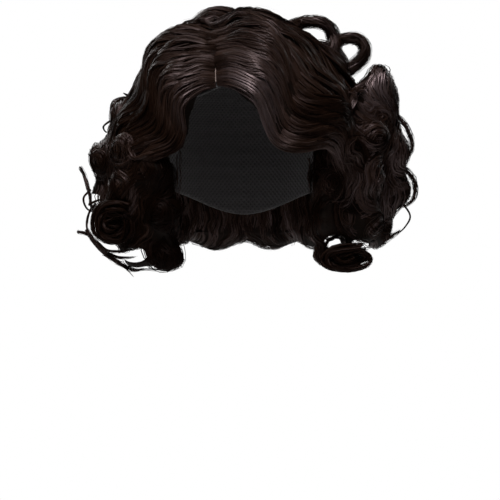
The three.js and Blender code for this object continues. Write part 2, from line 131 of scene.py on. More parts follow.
# %% Stage and light
FLOOR_LEVEL = -0.45
FLOOR_RADIUS = 0.7
ROOM_GLOW = 0.03
LIGHTS = [
    # name, place, size, watts
    ("soft light overhead", (-0.45, -0.75, 1.65), 1.0, 60),
    ("fill by the camera", (0.1, -2.2, 0.2), 1.2, 4),
    ("fill on the right", (1.9, -1.1, 0.3), 1.2, 4),
    ("edge light left", (-1.2, 1.9, 1.0), 0.9, 18),
    ("edge light right", (1.3, 1.9, 0.7), 0.9, 7),
]

floor_finish, _, floor_shader = new_finish("matt white paint")
floor_shader.inputs["Base Color"].default_value = linear("#f1f1f0")
floor_shader.inputs["Roughness"].default_value = 0.8
disc = bmesh.new()
bmesh.ops.create_circle(disc, cap_ends=True, segments=96, radius=FLOOR_RADIUS)
bmesh.ops.translate(disc, verts=disc.verts, vec=(0, 0, FLOOR_LEVEL))
floor = bpy.data.objects.new("floor", bpy.data.meshes.new("floor"))
disc.to_mesh(floor.data)
disc.free()
floor.data.materials.append(floor_finish)
scene.collection.objects.link(floor)

middle = (Vector(cad_box[0]) + Vector(cad_box[1])) / 2
for name, place, size, watts in LIGHTS:
    soft_box = bpy.data.lights.new(name, "AREA")
    soft_box.size = size
    soft_box.energy = watts
    lamp = bpy.data.objects.new(name, soft_box)
    lamp.location = place
    lamp.rotation_euler = (middle - Vector(place)).to_track_quat("-Z", "Y").to_euler()
    scene.collection.objects.link(lamp)

world = bpy.data.worlds.new("white room")
world.use_nodes = True
scene.world = world
room = world.node_tree
room.nodes.clear()
ray = add_node(room, "ShaderNodeLightPath")
glow = add_node(room, "ShaderNodeMapRange", values={"To Min": ROOM_GLOW, "To Max": 1.0},
                links={"Value": ray.outputs["Is Camera Ray"]})
white = add_node(room, "ShaderNodeBackground", values={"Color": linear("#ffffff")},
                 links={"Strength": glow.outputs["Result"]})
add_node(room, "ShaderNodeOutputWorld", links={"Surface": white.outputs["Background"]})
scene.view_settings.view_transform = "Standard"
print("lights:", len(LIGHTS))

# %% [markdown]
# ## Finishes
# The hair is heat-set synthetic fibre: black, smooth and a little shiny, so that each strand carries
# a soft streak of light along its crest. No two strands take the dye alike, so each has a value of its
# own, stored on its vertices, and painted light and shade are added to it: darker towards the ends and
# the bottom, near the face and at a sheet's far edge, lighter on the crests of the waves and near the
# hairline. The darker strands also shine less, so the painted shade dims their highlights too. What
# lies under the strands is the same fibre, combed together and painted darker as shade, and its
# pattern is a noise drawn out along the fall of the hair.

# %% Hair fibre
FIBRE_DARK = "#0a0402"
FIBRE_BROWN = "#23160f"
FIBRE_LIGHT = "#2a2222"
FIBRE_SHINE = "#fbdcdf"
DULL_SHINE, FULL_SHINE = 0.02, 0.65  # specular levels of the darkest and of the lightest strands, so that painted shade also dulls the shine
DULL_TINT = 0.12  # strands of this value or a darker one get the least shine; the value holds both the dye and the painted shade
BROWN_TINT = 0.4  # strands of this value are brown
GRAIN_WIDTH = 1.2 * MM  # real fibre is far finer, and this is about the finest that shows
GRAIN_LENGTH = 22 * MM
STREAK_WIDTH = 1.6 * MM
STREAK_LENGTH = 30 * MM


def strand_finish():
    """Heat-set synthetic fibre: brown-black, with a fine grain along each lock and a soft shine."""
    finish, tree, shader = new_finish("heat-set synthetic fibre")
    layout = add_node(tree, "ShaderNodeUVMap", {"uv_map": "fibre_map"})
    grain_scale = (1 / GRAIN_WIDTH, 1 / GRAIN_LENGTH, 1)
    drawn_out = add_node(tree, "ShaderNodeMapping", values={"Scale": grain_scale},
                         links={"Vector": layout.outputs["UV"]})
    grain = add_node(tree, "ShaderNodeTexNoise", values={"Scale": 1.0, "Detail": 3.0},
                     links={"Vector": drawn_out.outputs["Vector"]})
    spread = add_node(tree, "ShaderNodeMapRange",
                      values={"From Min": 0.3, "From Max": 0.7, "To Min": 0.1, "To Max": 1.9},
                      links={"Value": grain.outputs["Fac"]})
    dye_and_shade = add_node(tree, "ShaderNodeAttribute", {"attribute_name": "dye_and_shade"})
    shade = add_node(tree, "ShaderNodeMath", {"operation": "MULTIPLY"})
    tree.links.new(dye_and_shade.outputs["Fac"], shade.inputs[0])
    tree.links.new(spread.outputs["Result"], shade.inputs[1])
    dye = add_node(tree, "ShaderNodeValToRGB", links={"Fac": shade.outputs["Value"]})
    dye.color_ramp.elements[0].color = linear(FIBRE_DARK)
    dye.color_ramp.elements[1].color = linear(FIBRE_LIGHT)
    dye.color_ramp.elements.new(BROWN_TINT).color = linear(FIBRE_BROWN)
    raised = add_node(tree, "ShaderNodeBump", values={"Strength": 0.8, "Distance": 0.4 * MM},
                      links={"Height": grain.outputs["Fac"]})
    # The shine follows the same value, so the painted shade on a strand dims its highlight too.
    shine = add_node(tree, "ShaderNodeMapRange", links={"Value": dye_and_shade.outputs["Fac"]},
                     values={"From Min": DULL_TINT, "To Min": DULL_SHINE, "To Max": FULL_SHINE})
    tree.links.new(shine.outputs["Result"], shader.inputs["Specular IOR Level"])
    tree.links.new(dye.outputs["Color"], shader.inputs["Base Color"])
    tree.links.new(raised.outputs["Normal"], shader.inputs["Normal"])
    shader.inputs["Roughness"].default_value = 0.44
    shader.inputs["IOR"].default_value = 1.54
    shader.inputs["Specular IOR Level"].default_value = 0.25
    shader.inputs["Specular Tint"].default_value = linear(FIBRE_SHINE)
    return finish


def body_finish():
    """The same fibre lying close together, painted darker as the shade deep in the mass, with streaks in
    place of strands.
    """
    finish, tree, shader = new_finish("combed synthetic fibre")
    place = add_node(tree, "ShaderNodeTexCoord")
    drawn_out = (1 / STREAK_WIDTH, 1 / STREAK_WIDTH, 1 / STREAK_LENGTH)
    comb = add_node(tree, "ShaderNodeMapping", values={"Scale": drawn_out},
                    links={"Vector": place.outputs["Object"]})
    streaks = add_node(tree, "ShaderNodeTexNoise", values={"Scale": 1.0, "Detail": 3.0},
                       links={"Vector": comb.outputs["Vector"]})
    dye = add_node(tree, "ShaderNodeValToRGB", links={"Fac": streaks.outputs["Fac"]})
    dye.color_ramp.elements[0].color = linear("#050201")
    dye.color_ramp.elements[1].color = linear("#120905")
    raised = add_node(tree, "ShaderNodeBump", values={"Strength": 0.4, "Distance": 0.4 * MM},
                      links={"Height": streaks.outputs["Fac"]})
    tree.links.new(dye.outputs["Color"], shader.inputs["Base Color"])
    tree.links.new(raised.outputs["Normal"], shader.inputs["Normal"])
    shader.inputs["Roughness"].default_value = 0.6
    shader.inputs["Specular IOR Level"].default_value = 0.05
    return finish


fibre = strand_finish()
combed_fibre = body_finish()
print("made", fibre.name, "and", combed_fibre.name)

# %% [markdown]
# The cap is knitted from a fine elastic yarn as a diamond net. Its pattern is drawn on the cap's own
# map, which is laid out in metres, so that the net follows the dome. The parting is a strip of
# skin-coloured cloth, matt, with the specks where single hairs are tied in.


# %% Cap net and parting cloth
NET_PITCH = 3.0 * MM  # about twice the real mesh, to show at all
CLOTH_SPECK = 0.7 * MM


def bands_per_unit(pitch):
    """The scale at which a wave texture repeats once in each pitch."""
    return 2 * math.pi / 20 / pitch


def net_finish():
    """Knitted elastic net: dull black yarn in diamonds, with a little sheen."""
    finish, tree, shader = new_finish("knitted elastic net")
    layout = add_node(tree, "ShaderNodeUVMap", {"uv_map": "cap_map"})
    diamonds = add_node(tree, "ShaderNodeMapping", values={"Rotation": (0, 0, math.radians(45))},
                        links={"Vector": layout.outputs["UV"]})
    across, along = [
        add_node(tree, "ShaderNodeTexWave", {"bands_direction": direction},
                 {"Scale": bands_per_unit(NET_PITCH)}, {"Vector": diamonds.outputs["Vector"]})
        for direction in "XY"
    ]
    yarn = add_node(tree, "ShaderNodeMath", {"operation": "MAXIMUM"})
    tree.links.new(across.outputs["Fac"], yarn.inputs[0])
    tree.links.new(along.outputs["Fac"], yarn.inputs[1])
    dye = add_node(tree, "ShaderNodeValToRGB", links={"Fac": yarn.outputs["Value"]})
    dye.color_ramp.elements[0].color = linear("#070606")
    dye.color_ramp.elements[1].color = linear("#221d1f")
    raised = add_node(tree, "ShaderNodeBump", values={"Strength": 0.8, "Distance": 0.5 * MM},
                      links={"Height": yarn.outputs["Value"]})
    tree.links.new(dye.outputs["Color"], shader.inputs["Base Color"])
    tree.links.new(raised.outputs["Normal"], shader.inputs["Normal"])
    shader.inputs["Roughness"].default_value = 0.85
    shader.inputs["Sheen Weight"].default_value = 0.15
    return finish


def parting_finish():
    """Fine knitted cloth in a skin colour: matt, with dark specks where hairs are tied in."""
    finish, tree, shader = new_finish("skin-coloured cloth")
    place = add_node(tree, "ShaderNodeTexCoord")
    specks = add_node(tree, "ShaderNodeTexVoronoi", values={"Scale": 1 / CLOTH_SPECK},
                      links={"Vector": place.outputs["Object"]})
    dye = add_node(tree, "ShaderNodeValToRGB", links={"Fac": specks.outputs["Distance"]})
    dye.color_ramp.elements[0].color = linear("#43352f")
    dye.color_ramp.elements[1].color = linear("#65544e")
    dye.color_ramp.elements[1].position = 0.35
    raised = add_node(tree, "ShaderNodeBump", values={"Strength": 0.5, "Distance": 0.1 * MM},
                      links={"Height": specks.outputs["Distance"]})
    tree.links.new(dye.outputs["Color"], shader.inputs["Base Color"])
    tree.links.new(raised.outputs["Normal"], shader.inputs["Normal"])
    shader.inputs["Roughness"].default_value = 0.75
    return finish


net = net_finish()
parting_cloth = parting_finish()
print("made", net.name, "and", parting_cloth.name)

# %% [markdown]
# ## Places on the head
# Every part of a wig is placed by how far round the head it is, how far down from the top, and how
# far off the scalp. Azimuth runs from the front towards the wearer's left, drop from the top down to
# 90 at the widest level and on, plumb, below it. These are the sizes that the solids were made from.

# %% Places on the head
HEAD_HALF_WIDTH = 76.0
HEAD_HALF_LENGTH = 96.0
CROWN_HEIGHT = 90.0
FALL_PER_DEGREE = 1.57
UP = np.array([0.0, 0.0, 1.0])


def normalised(vectors):
    return vectors / np.maximum(np.linalg.norm(vectors, axis=-1, keepdims=True), 1e-9)


def unit_place(azimuth, drop):
    """A place on a head of unit size."""
    around, drop = np.radians(azimuth), np.asarray(drop, float)
    down = np.radians(np.minimum(drop, 90))
    height = np.cos(down) - np.maximum(drop - 90, 0) * FALL_PER_DEGREE / CROWN_HEIGHT
    wide, deep = np.sin(down) * np.sin(around), -np.sin(down) * np.cos(around)
    return np.stack(np.broadcast_arrays(wide, deep, height), -1)


def on_head(unit, lift):
    """That place on the real head, lift millimetres off it."""
    above = np.maximum(unit[..., 2], 0)
    size = np.sqrt(unit[..., 0] ** 2 + unit[..., 1] ** 2 + above**2)
    high = np.where(unit[..., 2] > 0, (CROWN_HEIGHT + lift) * above / size, CROWN_HEIGHT * unit[..., 2])
    wide = (HEAD_HALF_WIDTH + lift) * unit[..., 0] / size
    deep = (HEAD_HALF_LENGTH + lift) * unit[..., 1] / size
    return np.stack(np.broadcast_arrays(wide, deep, high - CROWN_HEIGHT), -1)


def outward(unit, lift):
    return normalised(on_head(unit, lift + 1) - on_head(unit, lift))


def smoothly(rows, share):
    """Values of a smooth curve through the rows, at shares of its length, and a little past its ends."""
    rows = np.asarray(rows, float)
    padded = np.concatenate([[2 * rows[0] - rows[1]], rows, [2 * rows[-1] - rows[-2]]])
    step = np.asarray(share) * (len(rows) - 1)
    at = np.clip(np.floor(step), 0, len(rows) - 2).astype(int)
    f = (step - at).reshape(step.shape + (1,) * (rows.ndim - 1))
    before, here, there, after = (padded[at + k] for k in range(4))
    leave, arrive = (there - before) / 2, (after - here) / 2
    cubic = 2 * here - 2 * there + leave + arrive
    square = 3 * there - 3 * here - 2 * leave - arrive
    return ((cubic * f + square) * f + leave) * f + here


def ease(share):
    """A share from 0 to 1 that starts and ends gently."""
    share = np.clip(share, 0, 1)
    return share * share * (3 - 2 * share)


print("the widest level is", CROWN_HEIGHT, "mm below the top")

# %% [markdown]
# ## The cap
# The cap is a dome of net that ends above the forehead, runs down in front of the ears as two tabs,
# and reaches to the nape. It could be lathed, but a head isn't round and the edge isn't level, so a
# flat grid is bent over the head instead: one way of it runs round and the other down. Its doubled
# seam and its pole are merged before the wall gets its thickness. Rows of weft are raised ribs.

# %% Cap
CAP_WALL = 1.5
CAP_COLUMNS = 72
CAP_ROWS = 66
WEFT_SPACING = 12.0
WEFT_HEIGHT = 0.5
EDGE_CORD = 1.1
CAP_EDGE = [  # azimuth, drop: forehead, temple, ear tab, over the ear, behind the ear, nape
    (0, 56), (40, 66), (68, 108), (95, 98), (125, 112), (180, 124),
]


def cap_edge(azimuth):
    """The drop of the cap's edge, eased from one row of its table to the next."""
    turned = abs((azimuth + 180) % 360 - 180)
    for (from_az, from_drop), (to_az, to_drop) in zip(CAP_EDGE, CAP_EDGE[1:]):
        if turned <= to_az:
            break
    return from_drop + (to_drop - from_drop) * float(ease((turned - from_az) / (to_az - from_az)))


def new_object(name, mesh, finish):
    """Links a finished mesh to the scene with its finish."""
    made = bpy.data.objects.new(name, mesh)
    made.data.materials.append(finish)
    scene.collection.objects.link(made)
    return made


def make_cap():
    shell = bmesh.new()
    layout = shell.loops.layers.uv.new("cap_map")
    bmesh.ops.create_grid(shell, x_segments=CAP_COLUMNS, y_segments=CAP_ROWS, size=0.5)
    for corner in (loop for each in shell.faces for loop in each.loops):
        azimuth = 360 * corner.vert.co.x
        drop = (corner.vert.co.y + 0.5) * cap_edge(azimuth)
        corner[layout].uv = (azimuth * FALL_PER_DEGREE * MM, drop * FALL_PER_DEGREE * MM)
    for vert in shell.verts:
        azimuth = 360 * vert.co.x
        drop = (vert.co.y + 0.5) * cap_edge(azimuth)
        rib = math.cos(math.pi * drop * FALL_PER_DEGREE / WEFT_SPACING) ** 8
        vert.co = on_head(unit_place(azimuth, drop), CAP_WALL - WEFT_HEIGHT * rib) * MM
    bmesh.ops.remove_doubles(shell, verts=shell.verts, dist=0.01 * MM)
    bmesh.ops.recalc_face_normals(shell, faces=shell.faces)
    bmesh.ops.solidify(shell, geom=shell.faces, thickness=CAP_WALL * MM)
    for each in shell.faces:
        each.smooth = True
    mesh = bpy.data.meshes.new("wig_cap_net")
    shell.to_mesh(mesh)
    shell.free()
    return new_object("wig_cap_net", mesh, net)


def make_edge_cord():
    """The elastic sewn into the cap's edge: a round cord that follows it."""
    line = bpy.data.curves.new("wig_cap_edge", "CURVE")
    line.dimensions = "3D"
    line.bevel_depth = EDGE_CORD * MM
    line.bevel_resolution = 2
    azimuths = np.arange(0, 360, 3.0)
    drops = [cap_edge(azimuth) for azimuth in azimuths]
    spline = line.splines.new("POLY")
    spline.points.add(len(azimuths) - 1)
    spline.use_cyclic_u = True
    places = on_head(unit_place(azimuths, drops), CAP_WALL / 2) * MM
    for point, place in zip(spline.points, places):
        point.co = (*place, 1)
    drawn = bpy.data.objects.new("wig_cap_edge", line)
    scene.collection.objects.link(drawn)
    mesh = bpy.data.meshes.new_from_object(drawn.evaluated_get(bpy.context.evaluated_depsgraph_get()))
    bpy.data.objects.remove(drawn)
    mesh.uv_layers.new(name="cap_map")
    return new_object("wig_cap_edge", mesh, net)


cap_pieces = [make_cap(), make_edge_cord()]
print("cap faces:", [len(piece.data.polygons) for piece in cap_pieces])

# %% [markdown]
# ## The parting
# Where the hair is combed apart, a strip of cloth shows between the two sides like a line of scalp.
# It is a narrow grid laid on the cap and given a wall, a little crowned across its width.

# %% Parting strip
PARTING_X = -22.0
PARTING_HALF_WIDTH = 0.9
PARTING_DROPS = (58.0, 24.0)
PARTING_TOP = 3.0
PARTING_WALL = 1.1
PARTING_CROWN = 0.25


def make_parting():
    strip = bmesh.new()
    bmesh.ops.create_grid(strip, x_segments=4, y_segments=40, size=0.5)
    for vert in strip.verts:
        across, along = 2 * vert.co.x, vert.co.y + 0.5
        drop = PARTING_DROPS[0] + (PARTING_DROPS[1] - PARTING_DROPS[0]) * along
        x = PARTING_X + across * PARTING_HALF_WIDTH
        azimuth = math.degrees(math.asin(x / (HEAD_HALF_WIDTH * math.sin(math.radians(drop)))))
        vert.co = on_head(unit_place(azimuth, drop), PARTING_TOP - PARTING_CROWN * across**2) * MM
    bmesh.ops.recalc_face_normals(strip, faces=strip.faces)
    bmesh.ops.solidify(strip, geom=strip.faces, thickness=PARTING_WALL * MM)
    bmesh.ops.recalc_face_normals(strip, faces=strip.faces)
    mesh = bpy.data.meshes.new("parting_cloth")
    strip.to_mesh(mesh)
    strip.free()
    return new_object("parting_cloth", mesh, parting_cloth)


parting = make_parting()
print("parting faces:", len(parting.data.polygons))

# %% [markdown]
# ## Where the curls are
# A curl is a ribbon of hair that was set round a roller lying level along the head. Leaning and
# swinging its axis makes the curls tousled. The table is the one that the solids were made from. The
# bodies are filled where the curls are, and the strands swirl round the same eyes.

# %% Curls of the sides and the back
# azimuth, drop, lift, radius, half width, turns, lean, toward
CURLS = {
    "side_curls_left": [
        (55, 91, 19, 18, 15, 1, 20, 15), (50, 110, 11, 18, 15, -1, -20, 10),
        (52, 129, 9, 18, 16, 1, 15, 10), (60, 147, 13, 15, 22, 1.2, 0, -52),
        (69, 87, 34, 19, 16, -1, 25, 0), (67, 108, 31, 20, 16, 1, -20, 0),
        (69, 130, 29, 19, 17, -1, 15, -20), (87, 73, 37, 24, 18, 1, 10, 0),
        (88, 92, 45, 20, 17, 1, -12, 0), (90, 113, 46, 20, 17, -1, 15, 0),
        (92, 134, 31, 19, 18, -1.1, -10, 0), (110, 84, 34, 21, 19, 1, -15, 0),
        (111, 109, 38, 21, 19, -1, 15, 0), (113, 134, 27, 19, 19, 1, -10, 0),
    ],
    "side_curls_right": [
        (-52, 104, 12, 18, 15, -1, 20, -10), (-49, 125, 7, 18, 15, 1, -20, -10),
        (-51, 148, 2, 15, 15, 1.1, 0, 30), (-66, 92, 27, 18, 15, 1, 25, 0),
        (-66, 112, 28, 18, 15, -1, -15, 0), (-72, 128, 33, 19, 15, 1.3, 0, -18),
        (-65, 147, 17, 15, 17, 1.1, 10, 20), (-84, 77, 24, 16, 15, -1, 10, 0),
        (-86, 96, 36, 19, 17, 1, -12, 0), (-90, 117, 36, 20, 17, -1, 15, 0),
        (-94, 138, 25, 18, 18, 1.1, -8, 0), (-110, 84, 29, 21, 19, -1, -15, 0),
        (-111, 109, 34, 21, 19, 1, 15, 0), (-114, 134, 26, 19, 19, -1, -10, 0),
    ],
    "back_curls": [
        (137, 92, 31, 20, 20, 1, 15, 0), (166, 88, 30, 20, 20, -1, -15, 0),
        (194, 89, 30, 20, 20, 1, 15, 0), (223, 92, 31, 20, 20, -1, -15, 0),
        (136, 115, 31, 20, 20, -1, -10, 0), (166, 112, 31, 20, 20, 1, 12, 0),
        (194, 113, 31, 20, 20, -1, -12, 0), (224, 115, 31, 20, 20, 1, 10, 0),
        (138, 136, 20, 17, 21, 1, 0, 0), (166, 135, 21, 17, 21, -1, 8, 0),
        (194, 136, 21, 17, 21, 1, -6, 0), (222, 135, 20, 17, 21, -1, 0, 0),
    ],
}


def turned_about(vector, axis, degrees):
    angle = math.radians(degrees)
    across = np.cross(axis, vector)
    along = axis * (axis @ vector) * (1 - math.cos(angle))
    return vector * math.cos(angle) + across * math.sin(angle) + along


def curl_axis(row):
    """The middle of a curl, the way out from the head there, and the axis that it is rolled round."""
    azimuth, drop, lift, *_, lean, toward = row
    place = unit_place(azimuth, drop)
    out = outward(place, lift)
    level = normalised(np.cross(UP, out))
    return on_head(place, lift), out, turned_about(turned_about(level, out, lean), UP, toward)


print("curls:", {section: len(rows) for section, rows in CURLS.items()})

# %% [markdown]
# ## The body of each section
# Between the outermost strands and the cap lies a mass of hair that no light gets through. Strands
# alone would need to be ten times as many to hide what is behind them. So each section has a body
# inside it. It is a copy of its solid without the loops, with eggs that fill the curls and some
# fuller places. It is swollen so that the clefts between curls close, given an even skin by the voxel
# remesh, softened, and drawn in again to lie under the strands. A Boolean cuts the few gaps where
# daylight shows between the curls.

# %% Bodies of the hair sections
BODY_SKIN = 4.0 * MM
SKIN_GRID = 0.5 * MM
BODY_DEPTH = 2.6 * MM
BODY_SWELLING = {"curls": 7.0 * MM, "smooth": 2.0 * MM}
BODY_SOFTENING = 6
CORE_SHARE = 0.86  # of a curl's radius
CORE_LENGTH = 1.1  # of its half width
# where the loops, which are made below as locks, are cut off: azimuth, drop and lift
LOOP_CUTS = {"crown_left": (88, 43, 25)}
PUFFS = {  # fuller places in the outline: the middle and the half sizes, across, deep and up
    "side_curls_left": [
        ((111, -2, -43), (13.5, 24, 22)), ((114, 0, -66), (15, 26, 24)), ((98, -4, -54), (14, 22, 13)),
    ],
    "crown_right": [((-19, 8, 9), (26, 26, 19))],
    "crown_left": [((70, 4, -20), (16, 20, 16))],
    "back_curls": [
        ((side * across, deep, up), (16, 16, 19))
        for side in (-1, 1) for across, deep, up in ((89, 71, -92), (90, 72, -123), (82, 67, -154))
    ],
}
# gaps between the curls, cut from front to back: the middle across and up, and the half sizes
DAYLIGHT = [
    ((-113, -176), (13, 8.5)), ((-87.5, -178.5), (11.5, 6.5)), ((-124, -133.5), (9, 5)),
    ((73, -168), (10, 6.5)), ((94, -169.5), (9, 4)),
]
GAP_DEPTH = 150
HAIR_SECTIONS = [
    "front_wave_left", "front_wave_right", "crown_left", "crown_right",
    "back_fall", "side_curls_left", "side_curls_right", "back_curls",
]


def add_egg(mass, centre, axis, half_sizes):
    """Adds an egg that lies along an axis to a mass of hair."""
    turn = Vector(axis).to_track_quat("Z", "Y").to_matrix().to_4x4()
    size = Matrix.Diagonal([each * MM for each in half_sizes] + [1.0])
    place = Matrix.Translation(Vector(centre) * MM) @ turn @ size
    bmesh.ops.create_uvsphere(mass, u_segments=16, v_segments=10, radius=1.0, matrix=place)


def make_gap_cutter():
    """Eggs that reach through the wig from front to back, to cut the gaps with."""
    eggs = bmesh.new()
    for (across, up), (half_wide, half_high) in DAYLIGHT:
        add_egg(eggs, (across, 0, up), UP, (half_wide, GAP_DEPTH, half_high))
    mesh = bpy.data.meshes.new("gap_cutter")
    eggs.to_mesh(mesh)
    eggs.free()
    return new_object("gap_cutter", mesh, combed_fibre)


def settle(body, grid=None):
    """Makes the modified shape the body's own, with its points, edges and faces in a fixed order.

    The remesh differs from run to run in the last digits, so its points can be moved to a fine grid.
    """
    shaped = bpy.data.meshes.new_from_object(body.evaluated_get(bpy.context.evaluated_depsgraph_get()))
    body.modifiers.clear()
    mass = bmesh.new()
    mass.from_mesh(shaped)
    if grid:
        for vert in mass.verts:
            vert.co = [round(each / grid) * grid for each in vert.co]
    for number, vert in enumerate(sorted(mass.verts, key=lambda vert: tuple(vert.co))):
        vert.index = number
    mass.verts.sort()
    for elements in (mass.edges, mass.faces):
        in_order = sorted(elements, key=lambda each: sorted(vert.index for vert in each.verts))
        for number, each in enumerate(in_order):
            each.index = number
        elements.sort()
    mass.to_mesh(shaped)
    mass.free()
    body.data = shaped


def make_body(section):
    mass = bmesh.new()
    mass.from_mesh(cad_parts[section].data)
    bmesh.ops.remove_doubles(mass, verts=mass.verts, dist=0.01 * MM)
    if section in LOOP_CUTS:
        azimuth, drop, lift = LOOP_CUTS[section]
        place = unit_place(azimuth, drop)
        bmesh.ops.bisect_plane(mass, geom=[*mass.verts, *mass.edges, *mass.faces], clear_outer=True,
                               plane_co=on_head(place, lift) * MM, plane_no=outward(place, lift))
        bmesh.ops.holes_fill(mass, edges=[edge for edge in mass.edges if edge.is_boundary])
    for row in CURLS.get(section, []):
        radius, half = row[3:5]
        centre, _, axis = curl_axis(row)
        add_egg(mass, centre, axis, (CORE_SHARE * radius, CORE_SHARE * radius, CORE_LENGTH * half))
    for centre, half_sizes in PUFFS.get(section, []):
        add_egg(mass, centre, UP, half_sizes)
    mesh = bpy.data.meshes.new(section + "_body")
    mass.to_mesh(mesh)
    mass.free()
    body = new_object(section + "_body", mesh, combed_fibre)
    swelling = BODY_SWELLING["curls" if section in CURLS else "smooth"]
    swell = body.modifiers.new("swell", "DISPLACE")
    swell.mid_level = 0.0
    swell.strength = swelling
    skin = body.modifiers.new("even skin", "REMESH")
    skin.mode = "VOXEL"
    skin.voxel_size = BODY_SKIN
    skin.use_smooth_shade = True
    settle(body, SKIN_GRID)
    soften = body.modifiers.new("soften", "SMOOTH")
    soften.iterations = BODY_SOFTENING
    draw_in = body.modifiers.new("under the strands", "DISPLACE")
    draw_in.mid_level = 0.0
    draw_in.strength = -swelling - BODY_DEPTH
    if section in CURLS:
        daylight = body.modifiers.new("daylight", "BOOLEAN")
        daylight.operation = "DIFFERENCE"
        daylight.use_self = True
        daylight.object = gap_cutter
    settle(body)
    return body


gap_cutter = make_gap_cutter()
bodies = {section: make_body(section) for section in HAIR_SECTIONS}
bpy.data.objects.remove(gap_cutter)
print("body faces:", {name: len(body.data.polygons) for name, body in bodies.items()})

# %% [markdown]
# ## Strands and locks as one mesh
# A strand is a slim flat strip that tapers to its tip, each tilted a little, so that each takes the
# light in its own way. Strands go in clumps, and down the middle of each clump runs a lock, a wider
# flattened tube with the fibre's grain, so that a clump isn't seen through. There are thousands of
# them, so a section's hair is one mesh made from arrays: the middle line of each strand or lock, the
# way that its flat side looks, its width, and its dye with painted shade added. One map is laid out in
# metres across and along each of them, for the grain. The other gives each a small patch of its own, which a
# bake would use.

# %% Hair mesh
STRIP = 2  # the number of points across a flat strand
STRAND_TILT = 0.24
LOCK_SIDES = 5
LOCK_FLATNESS = 0.28
LOCK_WIDTHS = (0.8, 4.5)
LOCK_SPREAD = 1.35  # of the spread of its strands
LOCK_SINK = 0.5
TIP_SHARE = 0.3
PATCH_MARGIN = 0.1
GRAIN_SHIFT = 0.37  # from one tube's grain to the next, in metres
GRAIN_GIRTH = 6  # of half a width, about once round
tubes_of = {section: [] for section in HAIR_SECTIONS}
tilt_rng = np.random.default_rng(60)


def tapered(width, points):
    share = np.linspace(0, 1, points)
    return width * (1 - (1 - TIP_SHARE) * share**3)


def add_strands(section, path, looks, half_width, dye_and_shade):
    """Keeps strands for a section. Path and looks are arrays of strands, points and x, y, z."""
    width = tapered(np.broadcast_to(half_width, len(path))[:, None], path.shape[1])
    tilt = tilt_rng.normal(0, STRAND_TILT, (len(path), 1, 1))
    tilted = looks + tilt * np.cross(normalised(np.gradient(path, axis=1)), looks)
    tubes_of[section].append((path, tilted, width, 1.0, STRIP, dye_and_shade))


def add_locks(section, path, looks, clump, dye_and_shade):
    """Keeps one lock for each clump of strands, as wide as the clump is, a little under its strands."""
    clumps, points = len(path) // clump, path.shape[1]
    grouped = path.reshape(clumps, clump, points, 3)
    middle = grouped.mean(1)
    facing = normalised(looks.reshape(clumps, clump, points, 3).mean(1))
    spread = np.sqrt(((grouped - middle[:, None]) ** 2).sum(-1).mean(1))
    width = tapered(np.clip(LOCK_SPREAD * spread, *LOCK_WIDTHS), points)
    sunk = middle - LOCK_SINK * facing
    tubes_of[section].append((sunk, facing, width, LOCK_FLATNESS, LOCK_SIDES, dye_and_shade[::clump]))


def tube_rings(path, looks, width, flatness, sides):
    """The points round each point of each tube."""
    ahead = normalised(np.gradient(path, axis=1))
    side = normalised(np.cross(ahead, looks))
    rise = np.cross(side, ahead) * flatness
    first = 0 if sides == STRIP else -np.pi / 2
    turn = (2 * np.pi * np.arange(sides) / sides + first)[:, None]
    spread = side[:, :, None] * np.cos(turn) + rise[:, :, None] * np.sin(turn)
    return path[:, :, None] + spread * width[:, :, None, None]


def tube_maps(path, width, sides, number, per_row):
    """Both maps of the sides and of the ends of tubes: the patches for a bake, and the grain."""
    points = path.shape[1]
    strips = 1 if sides == STRIP else sides
    k = np.stack([np.arange(strips) + step for step in (0, 0, 1, 1)], -1)[None, None]
    p = np.stack([np.arange(points - 1) + step for step in (0, 1, 1, 0)], -1)[None, :, None]
    numbers = (number % per_row, number // per_row, number)
    column, row, number = (each[:, None, None, None] for each in numbers)
    size = 1 - 2 * PATCH_MARGIN
    patch_u = (column + PATCH_MARGIN + size * k / sides) / per_row
    patch_v = (row + PATCH_MARGIN + size * p / (points - 1)) / per_row
    length = np.cumsum(np.linalg.norm(np.diff(path, axis=1, prepend=path[:, :1]), axis=-1), 1) * MM
    girth = GRAIN_GIRTH * width.max(1)[:, None, None, None] * MM
    grain_u = number * GRAIN_SHIFT + girth * k / sides
    grain_v = length[:, p[0]]
    turn = 2 * np.pi * np.arange(sides) / sides
    dot = PATCH_MARGIN / 3 * np.stack([np.cos(turn), np.sin(turn)], -1)
    middle = np.array([(0.5, PATCH_MARGIN / 2), (0.5, 1 - PATCH_MARGIN / 2)])[:, None]
    ends = (np.concatenate([column, row], -1) + middle + dot) / per_row
    sides_patch, sides_grain = (np.stack(np.broadcast_arrays(u, v), -1).reshape(-1, 2)
                                for u, v in ((patch_u, patch_v), (grain_u, grain_v)))
    ends_patch, ends_grain = ends.reshape(-1, 2), np.tile(dot * MM, (2 * len(path), 1))
    if sides == STRIP:
        ends_patch, ends_grain = ends_patch[:0], ends_grain[:0]
    return sides_patch, ends_patch, sides_grain, ends_grain


def tube_faces(count, points, sides, first):
    """The sides and the ends of tubes, numbered tube by tube. A strip has one side and no ends."""
    ring = first + np.arange(count * points * sides).reshape(count, points, sides)
    after = np.roll(ring, -1, axis=2)
    quads = np.stack([ring[:, :-1], ring[:, 1:], after[:, 1:], after[:, :-1]], -1)
    ends = np.stack([ring[:, 0], ring[:, -1, ::-1]], 1)
    if sides == STRIP:
        quads, ends = quads[:, :, :1], ends[:0]
    return quads.reshape(-1, 4), ends.reshape(-1, sides)


